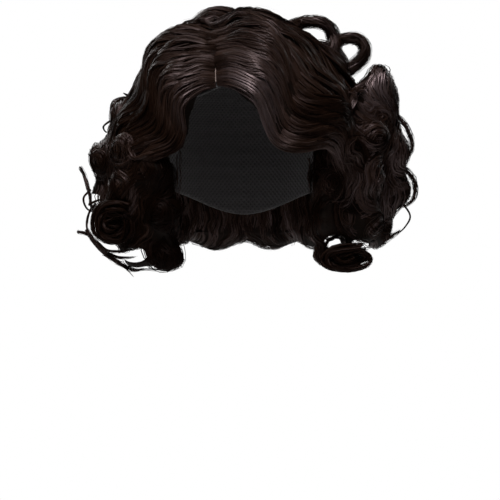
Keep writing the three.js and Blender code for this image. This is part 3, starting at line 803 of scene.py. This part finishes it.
def make_hair(section):
    total = sum(len(path) for path, *_ in tubes_of[section])
    per_row = math.ceil(math.sqrt(total))
    places, dyes_and_shades, faces, patches, grains = [], [], ([], []), ([], []), ([], [])
    first_point, first_tube = 0, 0
    for path, looks, width, flatness, sides, dye_and_shade in tubes_of[section]:
        count, points, _ = path.shape
        places.append(tube_rings(path, looks, width, flatness, sides).reshape(-1, 3) * MM)
        dyes_and_shades.append(np.repeat(np.broadcast_to(dye_and_shade.reshape(count, -1), (count, points)).ravel(), sides))
        quads, ends = tube_faces(count, points, sides, first_point)
        maps = tube_maps(path, width, sides, first_tube + np.arange(count), per_row)
        for kept, made in zip((*faces, *patches, *grains), (quads, ends, *maps)):
            kept.append(made)
        first_point += count * points * sides
        first_tube += count
    corners = [face for kept in faces for face in kept]
    sizes = np.concatenate([np.full(len(each), each.shape[1]) for each in corners])
    mesh = bpy.data.meshes.new(section + "_strands")
    mesh.vertices.add(first_point)
    mesh.vertices.foreach_set("co", np.concatenate(places).astype(np.float32).ravel())
    mesh.loops.add(int(sizes.sum()))
    numbers = np.concatenate([each.ravel() for each in corners])
    mesh.loops.foreach_set("vertex_index", numbers.astype(np.int32))
    mesh.polygons.add(len(sizes))
    mesh.polygons.foreach_set("loop_start", (np.cumsum(sizes) - sizes).astype(np.int32))
    mesh.polygons.foreach_set("use_smooth", np.ones(len(sizes), bool))
    mesh.update(calc_edges=True)
    dyed_and_shaded = mesh.attributes.new("dye_and_shade", "FLOAT", "POINT")
    dyed_and_shaded.data.foreach_set("value", np.concatenate(dyes_and_shades).astype(np.float32))
    for name, parts in (("OFBake", patches), ("fibre_map", grains)):
        flat_map = np.concatenate([each for kept in parts for each in kept]).astype(np.float32)
        mesh.uv_layers.new(name=name).uv.foreach_set("vector", flat_map.ravel())
    print(section, "tubes:", total, "triangles:", int((sizes - 2).sum()))
    return new_object(section + "_strands", mesh, fibre)


print("a strand of 24 points has", 23 * 2, "triangles")

# %% [markdown]
# ## Following the mass
# Curly hair that has been brushed out lies close on the mass under it and swirls round the eyes of the
# curls. A line over the mass is found step by step: go a little ahead, find the nearest point of the
# bodies, turn a little towards the flow there, and go on. The flow runs down and round each eye, one
# way or the other.

# %% Following the mass
EYE_REACH = 15.0
EYE_STRENGTH = 4.3
EYE_SHARE = 0.8  # of a curl's radius, how far out its eye is
STRAY_EYES = 60
STRAY_AZIMUTHS, STRAY_DROPS, STRAY_LIFT = (45, 315), (75, 145), 45.0


def skin_of(sections):
    """A search tree over the bodies of some sections, in millimetres."""
    places, corners = [], []
    for section in sections:
        first = len(places)
        places += [vert.co / MM for vert in bodies[section].data.vertices]
        corners += [[first + corner for corner in face.vertices] for face in bodies[section].data.polygons]
    return BVHTree.FromPolygons(places, corners)


def eye_of(row):
    centre, out, _ = curl_axis(row)
    return centre + EYE_SHARE * row[3] * out


mass_skin = skin_of(CURLS)
hair_skin = skin_of(HAIR_SECTIONS)
curl_rows = [row for rows in CURLS.values() for row in rows]
rng = np.random.default_rng(50)
stray_places = unit_place(rng.uniform(*STRAY_AZIMUTHS, STRAY_EYES), rng.uniform(*STRAY_DROPS, STRAY_EYES))
eyes = np.concatenate([[eye_of(row) for row in curl_rows], on_head(stray_places, STRAY_LIFT)])
eye_hands = np.concatenate([np.sign([row[5] for row in curl_rows]), rng.choice((-1, 1), STRAY_EYES)])


def flow(place, normal):
    """The way that hair runs at a place on the mass."""
    away = place - eyes
    near = eye_hands * np.exp(-(away**2).sum(-1) / EYE_REACH**2)
    run = EYE_STRENGTH * np.cross(normal, away * near[:, None]).sum(0) / EYE_REACH - UP
    return normalised(run - normal * (run @ normal))


def combed_flow(run):
    """A flow that runs one way, as near as the mass lets it."""
    return lambda place, normal: normalised(run - normal * (run @ normal))


def follow(skin, run, place, ahead, steps, stride, keep, sense=1):
    """Leads a line over a skin. At each step it keeps a share of its own way and takes the flow's."""
    line, facing = [], []
    for _ in range(steps):
        place, normal, _, _ = skin.find_nearest(place + ahead * stride)
        place, normal = np.array(place), np.array(normal)
        turned = keep * ahead + (1 - keep) * sense * run(place, normal)
        ahead = normalised(turned - normal * (turned @ normal))
        line.append(place)
        facing.append(normal)
    return np.array(line), np.array(facing)


def smoothed(lines):
    """Evens out lines of points, and leaves their ends where they are."""
    for _ in range(2):
        between = (lines[:, :-2] + 2 * lines[:, 1:-1] + lines[:, 2:]) / 4
        lines = np.concatenate([lines[:, :1], between, lines[:, -1:]], 1)
    return lines


print("eyes of curls:", len(eyes))

# %% [markdown]
# ## Combed sheets
# A section of smooth hair is a sheet between two edges, the near one towards the front and the far
# one behind it, given at a few stations along the fall. Its strands start side by side at the parting
# and gather into locks on the way down. Each lock lies at a depth of its own, and its end goes on over
# the mass below, so that no edge of the sheet shows. Crown and back hair rises over the curls to do so.

# %% Combing
STRAND_HALF_WIDTH = 0.4
STRAND_WIDTHS = (0.65, 1.15)  # shares of it
LOOSE_SHARE = 0.012
LOOSE_HALF_WIDTH = 0.2
LOOSE_LIFTS = (1, 3.5)
CLUMP_MIDDLES = (0.2, 0.8)  # shares of a clump's width, where its strands draw together
CLUMP_ROOTS = (-0.3, 1.3)  # and where they start
START_STEP, END_STEP = 0.01, 0.012  # how unevenly strands start and end, as shares of the fall
WAVE_STEP = 0.015  # how far neighbours are out of step, as a share of a wave
PACE_SHARE = 0.15  # of the scatter of clumps, how much their waves differ in length
WAVE_STRENGTHS = (0.7, 1.3)
WAVE_ONSET = 0.3  # the share of the fall by which a wave is full
SHEET_DEPTH = 0.3
STRAND_DEPTH = 1.2
ROOT_LENGTH = 0.12  # the share of the fall over which a root is lifted
END_ACROSS = (0.4, 0.9)  # shares across the sheet between which its end rises
END_START, END_LENGTH = 0.45, 0.5  # and where on the fall it does
CLUMP_TINT, STRAND_TINT, TINT_LIMIT = 0.07, 0.1, 0.3
LOCK_CROWN = 0.5
LOCK_FLOOR = 0.45
TAIL_STRIDES = (3.0, 7.0)
TAIL_KEEP = 0.55
TAIL_LANDING = 2.0
TAIL_LIFT = 2.5
TAIL_GATHER = 0.5
PAINTED_EDGE_SHARES = (0.1, 0.6)  # of a sheet's width: where the painted light of the near edge, by the hairline, and the painted shade of the far edge are full
ROOT_LIFTS = {  # share across the sheet, and how far strands are lifted at the root
    "parted": ((0.3, 0.6), (-3.0, 5.0)),
    "crown": ((0.0, 1.0), (5.0, 5.0)),
}


def sheet_points(rows, along, across, lift, locks):
    """Points of a sheet of hair, and the way that it faces there."""
    rows = np.asarray(rows, float)
    near = smoothly(unit_place(rows[:, 0], rows[:, 1]), along)
    far = smoothly(unit_place(rows[:, 3], rows[:, 4]), along)
    unit = near + (far - near) * across[..., None]
    height = smoothly(rows[:, 2], along) * (1 - across) + smoothly(rows[:, 5], along) * across
    ridge = np.interp(along, np.linspace(0, 1, len(rows)), rows[:, 6])
    rounded = LOCK_FLOOR + (1 - LOCK_FLOOR) * np.abs(np.sin(np.pi * locks * across))
    height = height + ridge * rounded + lift
    return on_head(unit, height), outward(unit, height)


def with_tails(path, looks, clump, steps, rng):
    """Lets each clump of strands go on over the mass below, drawing together to its tip."""
    clumps = len(path) // clump
    ends = path[:, -1].reshape(clumps, clump, 3)
    middles = ends.mean(1)
    ways = normalised(ends - path[:, -2].reshape(clumps, clump, 3)).mean(1)
    strides = rng.uniform(*TAIL_STRIDES, clumps)
    tails = [
        follow(mass_skin, flow, middle, way, steps, stride, TAIL_KEEP)
        for middle, way, stride in zip(middles, ways, strides)
    ]
    facing = normalised(smoothed(np.array([normal for _, normal in tails])))
    share = np.linspace(0, 1, steps + 1)[1:, None]
    onward = middles[:, None] + ways[:, None] * strides[:, None, None] * np.arange(1, steps + 1)[:, None]
    landed = ease(TAIL_LANDING * share)
    lying = np.array([line for line, _ in tails]) + facing * TAIL_LIFT * (1 - share)
    lines = onward * (1 - landed) + lying * landed
    lines = smoothed(np.concatenate([middles[:, None], lines], 1))[:, 1:]
    offsets = (ends - middles[:, None])[:, :, None] * (1 - TAIL_GATHER * share)
    tail = (lines[:, None] + offsets).reshape(-1, steps, 3)
    return np.concatenate([path, tail], 1), np.concatenate([looks, np.repeat(facing, clump, 0)], 1)


def comb(section, rows, rng, locks, painted_fade, count, clump, steps, tail, gather, wave, sway, cycles, phase,
         scatter, roots, overlap, reach, end_lift, shade, edges):
    """Strands over a sheet, gathered into clumps of a given number, whose ends follow the mass below."""
    clumps = count // clump
    owner = np.repeat(np.arange(clumps), clump)
    total = len(owner)

    def by_clump(low, high):
        return rng.uniform(low, high, clumps)[owner]

    middle = (owner + by_clump(*CLUMP_MIDDLES)) / clumps
    root = np.clip((owner + rng.uniform(*CLUMP_ROOTS, total)) / clumps, 0, 1)
    share = np.linspace(0, 1, steps)
    begin = rng.uniform(0, START_STEP, total) - np.interp(root, ROOT_LIFTS[roots][0], overlap)
    end = by_clump(*reach) + rng.normal(0, END_STEP, total)
    along = begin[:, None] + (end - begin)[:, None] * share
    across = root[:, None] + (middle - root)[:, None] * gather * ease(share)
    shift = phase + rng.normal(0, scatter, clumps)[owner] + rng.normal(0, WAVE_STEP, total)
    pace = cycles * (1 + rng.normal(0, PACE_SHARE * scatter, clumps)[owner])
    swing = 2 * np.pi * (pace[:, None] * along + shift[:, None])
    strength = by_clump(*WAVE_STRENGTHS)[:, None] * ease(share / WAVE_ONSET)
    across = across + sway * strength * np.sin(swing) * ease(3 * root)[:, None]
    crown = 1 - np.minimum(1, np.abs(root - middle) * clumps) ** 2
    sunk = by_clump(0, 1) - crown * LOCK_CROWN + rng.uniform(0, 1, total) ** 2 * STRAND_DEPTH
    loose = rng.uniform(size=total) < LOOSE_SHARE
    away = np.where(loose, rng.uniform(*LOOSE_LIFTS, total), 0)
    root_lift = np.interp(root, *ROOT_LIFTS[roots])
    lift = wave * strength * np.cos(swing) - sunk[:, None] * ease(4 * share) - SHEET_DEPTH
    rising = ease((along - END_START) / END_LENGTH)
    lift = lift + np.interp(root, END_ACROSS, end_lift)[:, None] * rising
    lifted = root_lift[:, None] * (1 - ease(share / ROOT_LENGTH))
    lift = lift + away[:, None] * np.sin(np.pi * share) + lifted
    path, looks = sheet_points(rows, along, across, lift, locks)
    path, looks = with_tails(path, looks, clump, tail, rng)
    width = STRAND_HALF_WIDTH * rng.uniform(*STRAND_WIDTHS, total)
    width = np.where(loose, LOOSE_HALF_WIDTH, width)
    # Painted light and shade: the dyed value is scaled along each strand by the painted fade, and across the
    # sheet by the edges, lighter by the hairline and darker at the far edge.
    painted_fading = np.interp(np.linspace(0, 1, path.shape[1]), *zip(*painted_fade))
    dye_and_shade = rng.normal(0, CLUMP_TINT, clumps)[owner] + rng.normal(0, STRAND_TINT, total)
    dye_and_shade = shade + np.clip(dye_and_shade, -TINT_LIMIT, TINT_LIMIT)
    dye_and_shade = np.clip(dye_and_shade, 0, 1) * np.interp(root, PAINTED_EDGE_SHARES, edges)
    dye_and_shade = dye_and_shade[:, None] * painted_fading
    add_locks(section, path, looks, clump, dye_and_shade)
    add_strands(section, path, looks, width, dye_and_shade)


print("loose strands in a thousand:", round(1000 * LOOSE_SHARE))

# %% [markdown]
# ## Waves and crown
# From the parting two waves of hair sweep over the forehead to either side, and behind them the crown
# falls left, right and back. The stations are those of the solids, so the strands lie where the
# solids are.

# %% Stations of the waves and the crown
# near azimuth, drop and lift, far azimuth, drop and lift, height of the locks
WAVES = {
    "front_wave_left": [
        (-17.3, 60, 4, -35, 25, 9, 3), (-3, 66, 10, -2, 20, 17, 6), (6, 73, 11, 19, 34, 20, 7),
        (11, 82, 7, 28, 48, 17, 6), (18, 91, 7, 33, 60, 13, 5), (27, 94, 13, 40, 69, 17, 6),
        (37, 92, 18, 51, 74, 24, 6), (47, 90, 20, 60, 78, 26, 4),
    ],
    "front_wave_right": [
        (-19.6, 61, 4, -38, 27, 9, 3), (-28, 67, 8, -70, 27, 19, 6), (-33, 75, 10, -78, 40, 23, 6),
        (-34, 84, 7, -79, 54, 25, 6), (-38, 93, 8, -76, 67, 21, 5), (-47, 98, 15, -73, 78, 25, 6),
        (-58, 102, 22, -76, 88, 31, 4),
    ],
    "crown_left": [
        (-36, 24, 9, -128, 18, 14, 5), (0, 20, 18, 165, 14, 18, 7), (22, 42, 13, 138, 34, 13, 6),
        (29, 60, 11, 131, 52, 17, 7), (38, 72, 15, 129, 70, 16, 6), (53, 82, 21, 128, 88, 20, 5),
    ],
    "crown_right": [
        (-36, 26, 9, -129, 20, 14, 5), (-66, 26, 17, -150, 30, 23, 7), (-74, 40, 19, -138, 44, 17, 6),
        (-76, 54, 21, -131, 60, 18, 7), (-74, 67, 18, -129, 74, 16, 6), (-72, 80, 22, -128, 88, 20, 5),
    ],
    "back_fall": [
        (-176, 12, 15, -122, 22, 15, 5), (152, 19, 22, -146, 32, 23, 8), (131, 36, 15, -132, 46, 16, 6),
        (124, 54, 17, -126, 62, 17, 7), (122, 73, 17, -124, 76, 17, 6), (122, 90, 21, -124, 90, 21, 5),
    ],
}
WAVE_LOCKS = {"front_wave_left": 4, "front_wave_right": 4, "crown_left": 5, "crown_right": 4, "back_fall": 5}
# shade sets how light a section's strands are; the crown's is lower, as painted shade, and edges paints
# light by the hairline and shade at the far edge
FRONT_STRANDS = {
    "count": 1200, "clump": 12, "steps": 22, "tail": 9, "gather": 0.25, "wave": 3.2, "sway": 0.075,
    "cycles": 2.0, "phase": -0.6, "scatter": 0.06, "roots": "parted", "overlap": (0.012, 0.05),
    "reach": (0.86, 1.0), "end_lift": (0, 0), "shade": 0.6, "edges": (1.4, 0.72),
}
CROWN_STRANDS = {
    "count": 816, "clump": 12, "steps": 16, "tail": 11, "gather": 0.4, "wave": 2.6, "sway": 0.045,
    "cycles": 2.3, "phase": 0.0, "scatter": 0.12, "roots": "crown", "overlap": (0.05, 0.05),
    "reach": (0.72, 0.95), "end_lift": (0, 13), "shade": 0.5, "edges": (1, 1),
}
BACK_STRANDS = {**CROWN_STRANDS, "end_lift": (13, 13)}
STRANDS = {"front": FRONT_STRANDS, "crown": CROWN_STRANDS, "back": BACK_STRANDS}
# Painted shade along the crown and back strands: full at the root, darker towards the ends.
CROWN_PAINTED_FADE = ((0, 1), (0.2, 0.7), (0.5, 0.45), (1, 0.45))
FRONT_PAINTED_FADES = {  # shares of the painted shade along the strands: lighter on the crest of the wave, darker in the trough after it and towards the ends
    "front_wave_left": (
        (0, 0.6), (0.12, 0.9), (0.32, 0.95), (0.45, 0.5), (0.55, 0.12), (0.75, 0.5), (1, 0.5),
    ),
    "front_wave_right": ((0, 0.42), (0.12, 0.55), (0.3, 0.65), (0.5, 0.14), (0.75, 0.5), (1, 0.6)),
}

for seed, (section, rows) in enumerate(WAVES.items()):
    painted_fade = FRONT_PAINTED_FADES.get(section, CROWN_PAINTED_FADE)
    kind = section.split("_")[0]
    comb(section, rows, np.random.default_rng(100 + seed), WAVE_LOCKS[section], painted_fade, **STRANDS[kind])
print("combed:", ", ".join(WAVES))

# %% [markdown]
# ## The brushed mass
# The sides and the back were curled and brushed out, so the hair there has no parting and no edges,
# only swirls. Each clump starts at that one of a few places on a section's body that is furthest from
# the clumps before it. It comes up out of the body, follows the flow for a few centimetres and goes
# under again. The places are found by rays from all round, so they don't hang on how the body's faces
# are numbered. Clumps that would hide a gap between the curls are left out.

# %% Brushed mass
BRUSHED = {
    # clumps, the share of them that is kept where the mass faces the head, the painted shades below and
    # above, darker towards the bottom, and how far from the middle the painted shade near the face is
    # deepest and where it ends
    "side_curls_left": (520, 0.3, (0.32, 0.5), (30.0, 98.0)),
    "side_curls_right": (520, 0.3, (0.25, 0.48), (70.0, 105.0)),
    "back_curls": (450, 0.6, (0.25, 0.35), (-1.0, 0.0)),
    "crown_right": (36, 0.0, (0.45, 0.45), (-1.0, 0.0)),
    "crown_left": (36, 0.0, (0.4, 0.4), (-1.0, 0.0)),
}
# heights between which the painted shade lightens from the lower value to the upper
PAINTED_SHADE_LEVELS = (-95.0, -50.0)
BRUSH_STEPS = 11
BRUSH_STRIDES = (3.0, 5.5)
BRUSH_CLUMP = 10
BRUSH_KEEP = 0.4
BRUSH_WIDTHS = (0.6, 1.1)  # shares of a strand's half width
CRIMP_HEIGHTS, CRIMP_WAVES = (0.5, 2.0), 1.9
WOBBLE_HEIGHTS, WOBBLE_WAVES = (0.2, 0.8), 2.4
CLUMP_RISE, CLUMP_RISES = 0.4, 2.4  # of all clumps, and what the highest adds
CLUMP_SPREAD, CLUMP_GATHER = 3.0, 0.4
CLUMP_HEIGHTS = (0.2, 1.6)
CLUMP_TINTS, BRUSHED_TINTS = (1, 0.55), (1.15, 0.4)  # shares of the shade: the mean and the spread
INSIDE_SLOPE = -0.25  # a face that looks further in than this lies inside
BRUSH_TRIES = 8
START_RAYS = 6000
RAY_LENGTH = 500.0
RIBBON_HALF_WIDTHS = (1.0, 2.2)
RIBBON_SIDES = 4
RIBBON_FLATNESS = 0.25
HEAD_MIDDLE = np.array([0.0, 0.0, -CROWN_HEIGHT])
PUFF_REACH = 30.0
PUFF_RUNS = {"crown_right": np.array([-1.0, 0.3, -0.3]), "crown_left": np.array([0.7, 0.2, -0.7])}


def start_places(section, inside_share, rng):
    """Places where rays from all round meet a section's body, and the ways that it faces there."""
    skin = skin_of([section])
    points = np.array([vert.co for vert in bodies[section].data.vertices]) / MM
    aims = rng.uniform(points.min(0), points.max(0), (START_RAYS, 3))
    ways = normalised(rng.normal(size=(START_RAYS, 3)))
    places, normals = [], []
    for aim, way, draw in zip(aims, ways, rng.uniform(size=START_RAYS)):
        place, normal, _, _ = skin.ray_cast(aim - RAY_LENGTH * way, way)
        if place is None:
            continue
        place, normal = np.array(place), np.array(normal)
        looks_out = normal @ normalised(place - HEAD_MIDDLE) > INSIDE_SLOPE
        in_reach = section in CURLS or np.linalg.norm(place - PUFFS[section][0][0]) < PUFF_REACH
        if in_reach and (looks_out or draw < inside_share):
            places.append(place)
            normals.append(normal)
    return np.array(places), np.array(normals)


def crosses_gap(lines):
    """Which lines would hide a gap between the curls."""
    crossing = np.zeros(len(lines), bool)
    for (across, up), (half_wide, half_high) in DAYLIGHT:
        reach = ((lines[..., 0] - across) / half_wide) ** 2 + ((lines[..., 2] - up) / half_high) ** 2
        crossing |= (reach < 1).any(1)
    return crossing


def brush(section, rng, count, inside_share, painted_shades, face_shade_reach):
    """Clumps over a body. Each starts at that one of a few places which is furthest from the others."""
    places, normals = start_places(section, inside_share, rng)
    run = combed_flow(PUFF_RUNS[section]) if section in PUFF_RUNS else flow
    half, lines = BRUSH_STEPS // 2, []
    for _ in range(count):
        tries = rng.choice(len(places), BRUSH_TRIES)
        taken = np.concatenate([[HEAD_MIDDLE], *(line for line, _ in lines)])
        gaps = np.linalg.norm(places[tries, None] - taken, axis=-1).min(1)
        best = tries[gaps.argmax()]
        place, normal = places[best], normals[best]
        stride, way = rng.uniform(*BRUSH_STRIDES), run(place, normal)
        before, after = (
            follow(hair_skin, run, place, sense * way, half, stride, BRUSH_KEEP, sense) for sense in (-1, 1)
        )
        joined = zip(before, (place, normal), after)
        lines.append([np.concatenate([back[::-1], [at], ahead]) for back, at, ahead in joined])
    line = smoothed(np.array([each for each, _ in lines]))
    facing = normalised(smoothed(np.array([each for _, each in lines])))
    clear = ~crosses_gap(line)
    line, facing, count = line[clear], facing[clear], int(clear.sum())
    side = np.cross(normalised(np.gradient(line, axis=1)), facing)
    share = np.linspace(0, 1, BRUSH_STEPS)
    arch = np.sqrt(np.sin(np.pi * share))
    crimp = rng.uniform(*CRIMP_HEIGHTS, (count, 1))
    crimp = crimp * np.sin(2 * np.pi * (CRIMP_WAVES * share + rng.uniform(size=(count, 1))))
    rise = (CLUMP_RISE + CLUMP_RISES * rng.uniform(size=(count, 1)) ** 2) * arch - CLUMP_RISE
    line = line + side * crimp[..., None] + facing * rise[..., None]
    # Painted shade: clumps are dyed darker low down and near the face, and so shine less there too.
    shade = np.interp(line[:, half, 2], PAINTED_SHADE_LEVELS, painted_shades)
    shade = shade * np.interp(np.abs(line[:, half, 0]), face_shade_reach, (0, 1))
    dye_and_shade = np.clip(shade * rng.normal(*CLUMP_TINTS, count), 0, 1)
    width = rng.uniform(*RIBBON_HALF_WIDTHS, (count, 1)) * (0.35 + 0.65 * np.sin(np.pi * share) ** 0.6)
    tubes_of[section].append((line, facing, width, RIBBON_FLATNESS, RIBBON_SIDES, dye_and_shade))
    shape = (count, BRUSH_CLUMP, 1)
    wobble = rng.uniform(*WOBBLE_HEIGHTS, shape)
    wobble = wobble * np.sin(2 * np.pi * (WOBBLE_WAVES * share + rng.uniform(size=shape)))
    aside = rng.normal(0, CLUMP_SPREAD, shape) * (1 - CLUMP_GATHER * share) + wobble
    above = rng.uniform(*CLUMP_HEIGHTS, shape) * arch
    path = line[:, None] + side[:, None] * aside[..., None] + facing[:, None] * above[..., None]
    path = path.reshape(-1, BRUSH_STEPS, 3)
    looks = np.repeat(facing, BRUSH_CLUMP, 0)
    dyes_and_shades = np.clip(np.repeat(dye_and_shade, BRUSH_CLUMP) * rng.normal(*BRUSHED_TINTS, len(path)), 0, 1)
    add_strands(section, path, looks, STRAND_HALF_WIDTH * rng.uniform(*BRUSH_WIDTHS, len(path)), dyes_and_shades)


for seed, (section, amount) in enumerate(BRUSHED.items()):
    brush(section, np.random.default_rng(200 + seed), *amount)
print("brushed clumps:", sum(amount[0] for amount in BRUSHED.values()))

# %% [markdown]
# ## Loops, coils and wisps
# Two locks have sprung up out of the crown and arch over it, and daylight shows through them. Two
# curls are still rolled and show their ends as coils, one low on each side. Along the outline, thin
# wisps stand off the mass. All of these are locks that follow a given line, and their strands go
# round a core, in and out and a little astray, so that none looks like a cord.

# %% Loops, coils and wisps
FRONT = np.array([0.0, -1.0, 0.0])
LOCK_CORE_SIDES = 8
LOCK_TWIST = 1.0
LOCK_SWAY = 0.5
LOCK_RUFFLE = 0.12
# across and up in millimetres, from the root to the tip
CROWN_LOOPS = [
    [
        (30, 2), (38, 8), (46, 11.5), (55, 12.5), (63, 11.5),
        (70, 7), (73, 0), (74, -8), (72, -16), (66, -26),
    ],
    [
        (70, -22), (73, -10), (78, -3), (86, -1), (94, -2),
        (99, -8), (98, -16), (92, -22), (84, -28), (76, -34),
    ],
]
WISPS = {  # half a width, how far forward, and lines
    "side_curls_right": [
        (1.6, 0, [(-134, -107), (-131, -113), (-128, -123), (-126, -131), (-125, -140), (-121, -147)]),
        (1.0, 38, [
            (-120, -137), (-124, -142), (-127, -151), (-126, -160), (-122, -168),
            (-114, -177), (-103, -185), (-95, -190), (-88, -197),
        ]),
        (1.5, 38, [
            (-134, -160), (-126, -162), (-118, -169), (-111, -175), (-102, -176), (-95, -175), (-87, -174),
        ]),
        (2.4, 38, [(-113, -177), (-104, -183), (-96, -188), (-88, -191), (-78, -189)]),
        (1.8, 38, [(-127, -158), (-121, -168), (-113, -176), (-104, -180), (-95, -181), (-86, -180)]),
        (0.9, 38, [(-124, -126), (-129, -132), (-128, -139), (-124, -143), (-116, -145)]),
        (1.0, 38, [(-125, -138), (-120, -135), (-113, -133)]),
        (1.5, 0, [(-84, -53), (-91, -50), (-95, -48), (-99, -46)]),
        (2.4, 0, [
            (-90, -51), (-100, -51), (-106, -54), (-108, -60),
            (-107, -65), (-103, -69), (-97, -67), (-92, -62),
        ]),
        (1.3, 0, [(-91, -55), (-96, -56), (-100, -58), (-102, -62), (-98, -66)]),
        (0.8, 0, [(-99, -65), (-105, -67), (-111, -70), (-115, -74), (-113, -78), (-109, -76)]),
        (1.6, 0, [(-100, -80), (-108, -79), (-113, -83), (-114, -90)]),
    ],
    "side_curls_left": [
        (4.0, 0, [(89, -160), (100, -166), (111, -167), (121, -163), (130, -157)]),
        (0.7, 0, [(131, -137), (136, -147), (132, -156), (124, -163)]),
        (3.0, 0, [(124, -64), (132, -73), (137, -83), (137.5, -93), (131, -102)]),
        (3.0, 0, [(128, -104), (138, -115), (140.5, -125), (137, -135), (126, -141)]),
        (1.6, 58, [(61, -157), (67, -166), (75, -163), (82, -158)]),
        (1.6, 58, [(70, -184), (64, -175), (70, -165), (80, -166)]),
    ],
}
COILS = {  # the middle, how far forward, the outermost turn round the middle, and the sizes of the turns
    "side_curls_left": (
        (82, -181), 68,
        [(14, 11), (-10, 8), (-19, 1), (-14, -8), (2, -10.5), (17, -6), (21, 1), (10, 6.5), (-4, 4)],
        (0.98, 0.87, 0.76, 0.65, 0.54, 0.43, 0.3),
    ),
    "side_curls_right": (
        (-105, -153), 58,
        [(14, 14), (2, 19), (-11, 15), (-17, 3), (-14, -10), (-3, -17), (9, -14), (15, -3), (11, 7)],
        (0.98, 0.87, 0.76, 0.64, 0.52, 0.4, 0.26),
    ),
}
LOOP_LOCK = {
    "half_wide": 5.0, "half_deep": 4.0, "core_share": 0.74, "narrowing": -0.6, "total": 120, "steps": 26,
    "shade": 0.35,
}
# The coils take the lowest shade: painted shade in the rolled curl, which also dims their shine.
COIL_LOCK = {
    "half_wide": 2.0, "half_deep": 4.5, "core_share": 0.5, "narrowing": 0.4, "total": 30, "steps": 20,
    "shade": 0.1,
}
COIL_SCATTER = 0.9
WISP_LOCK = {"core_share": 0.35, "narrowing": 0.7, "total": 28, "steps": 18, "shade": 0.25}
LOCK_DEPTHS = 3  # the spread of a lock's points in depth
LOCK_SWINGS, LOCK_RUFFLES = 2, 3
LOCK_ENDS = (0.82, 1)  # shares of the line, where strands end
CORE_END = 0.94  # and the core
LOCK_FRINGE = 1.15  # the square of how far out strands go, against the lock's half width
LOCK_TINTS = (1, 0.6)
LOCK_WIDTH_SHARES = (0.5, 1.0)


def lock_along(section, line, depth, rng, half_wide, half_deep, core_share, narrowing, total, steps, shade):
    """Strands of one lock that follows a smooth line across and up, at a given depth, round a core."""
    points = np.array([(x, depth + rng.normal(0, LOCK_DEPTHS), z) for x, z in line])
    share = np.linspace(0, 1, steps) * rng.uniform(*LOCK_ENDS, total)[:, None]
    middle = smoothly(points, share)
    ahead = normalised(np.gradient(middle, axis=1))
    deep = normalised(FRONT - ahead * (ahead @ FRONT)[..., None])
    wide = np.cross(ahead, deep)
    swing = np.sin(2 * np.pi * (LOCK_SWINGS * share + rng.uniform(0, 1, total)[:, None]))
    ruffle = np.sin(2 * np.pi * (LOCK_RUFFLES * share + rng.uniform(0, 1, total)[:, None]))
    ruffle = 1 + LOCK_RUFFLE * ruffle
    turn = rng.uniform(0, 2 * np.pi, total)[:, None] + LOCK_TWIST * share
    turn = turn + rng.normal(0, LOCK_SWAY, total)[:, None] * swing
    reach = np.sqrt(rng.uniform(core_share**2, LOCK_FRINGE, total))[:, None]
    reach = reach * ruffle * (1 - narrowing * share**3)
    looks = wide * np.sin(turn)[..., None] + deep * np.cos(turn)[..., None]
    path = middle + wide * (half_wide * reach * np.sin(turn))[..., None]
    path = path + deep * (half_deep * reach * np.cos(turn))[..., None]
    dye_and_shade = np.clip(shade * rng.normal(*LOCK_TINTS, total), 0, 1)
    core = smoothly(points, np.linspace(0, CORE_END, steps))[None]
    core_width = core_share * half_wide * (1 - narrowing * np.linspace(0, 1, steps)[None] ** 3)
    core_looks, flatness = FRONT + 0 * core, half_deep / half_wide
    tubes_of[section].append((core, core_looks, core_width, flatness, LOCK_CORE_SIDES, np.full(1, shade)))
    add_strands(section, path, looks, STRAND_HALF_WIDTH * rng.uniform(*LOCK_WIDTH_SHARES, total), dye_and_shade)


rng = np.random.default_rng(400)
for line in CROWN_LOOPS:
    lock_along("crown_left", line, 0, rng, **LOOP_LOCK)
for section, (coil_middle, forward, turn, sizes) in COILS.items():
    for size in sizes:
        line = np.array(coil_middle) + size * np.array(turn) + rng.normal(0, COIL_SCATTER, (len(turn), 2))
        lock_along(section, line, -forward, rng, **COIL_LOCK)
for section, lines in WISPS.items():
    for half_wide, forward, line in lines:
        lock_along(section, line, -forward, rng, half_wide, half_wide, **WISP_LOCK)
print("loops:", len(CROWN_LOOPS), "coils:", len(COILS), "wisps:", sum(map(len, WISPS.values())))

# %% [markdown]
# ## Join up
# Each section's strands become one mesh. Every piece rides on the wig's one body, and the solid that it
# stands for is hidden.

# %% Join up
pieces = {"wig_cap": cap_pieces, "parting_strip": [parting]}
for section in HAIR_SECTIONS:
    pieces[section] = [bodies[section], make_hair(section)]
for node, made in pieces.items():
    for piece in made:
        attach(piece, "root")
        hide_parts(node)
triangle_count = sum(
    len(face.vertices) - 2 for made in pieces.values() for piece in made for face in piece.data.polygons
)
print("triangles in all:", triangle_count)
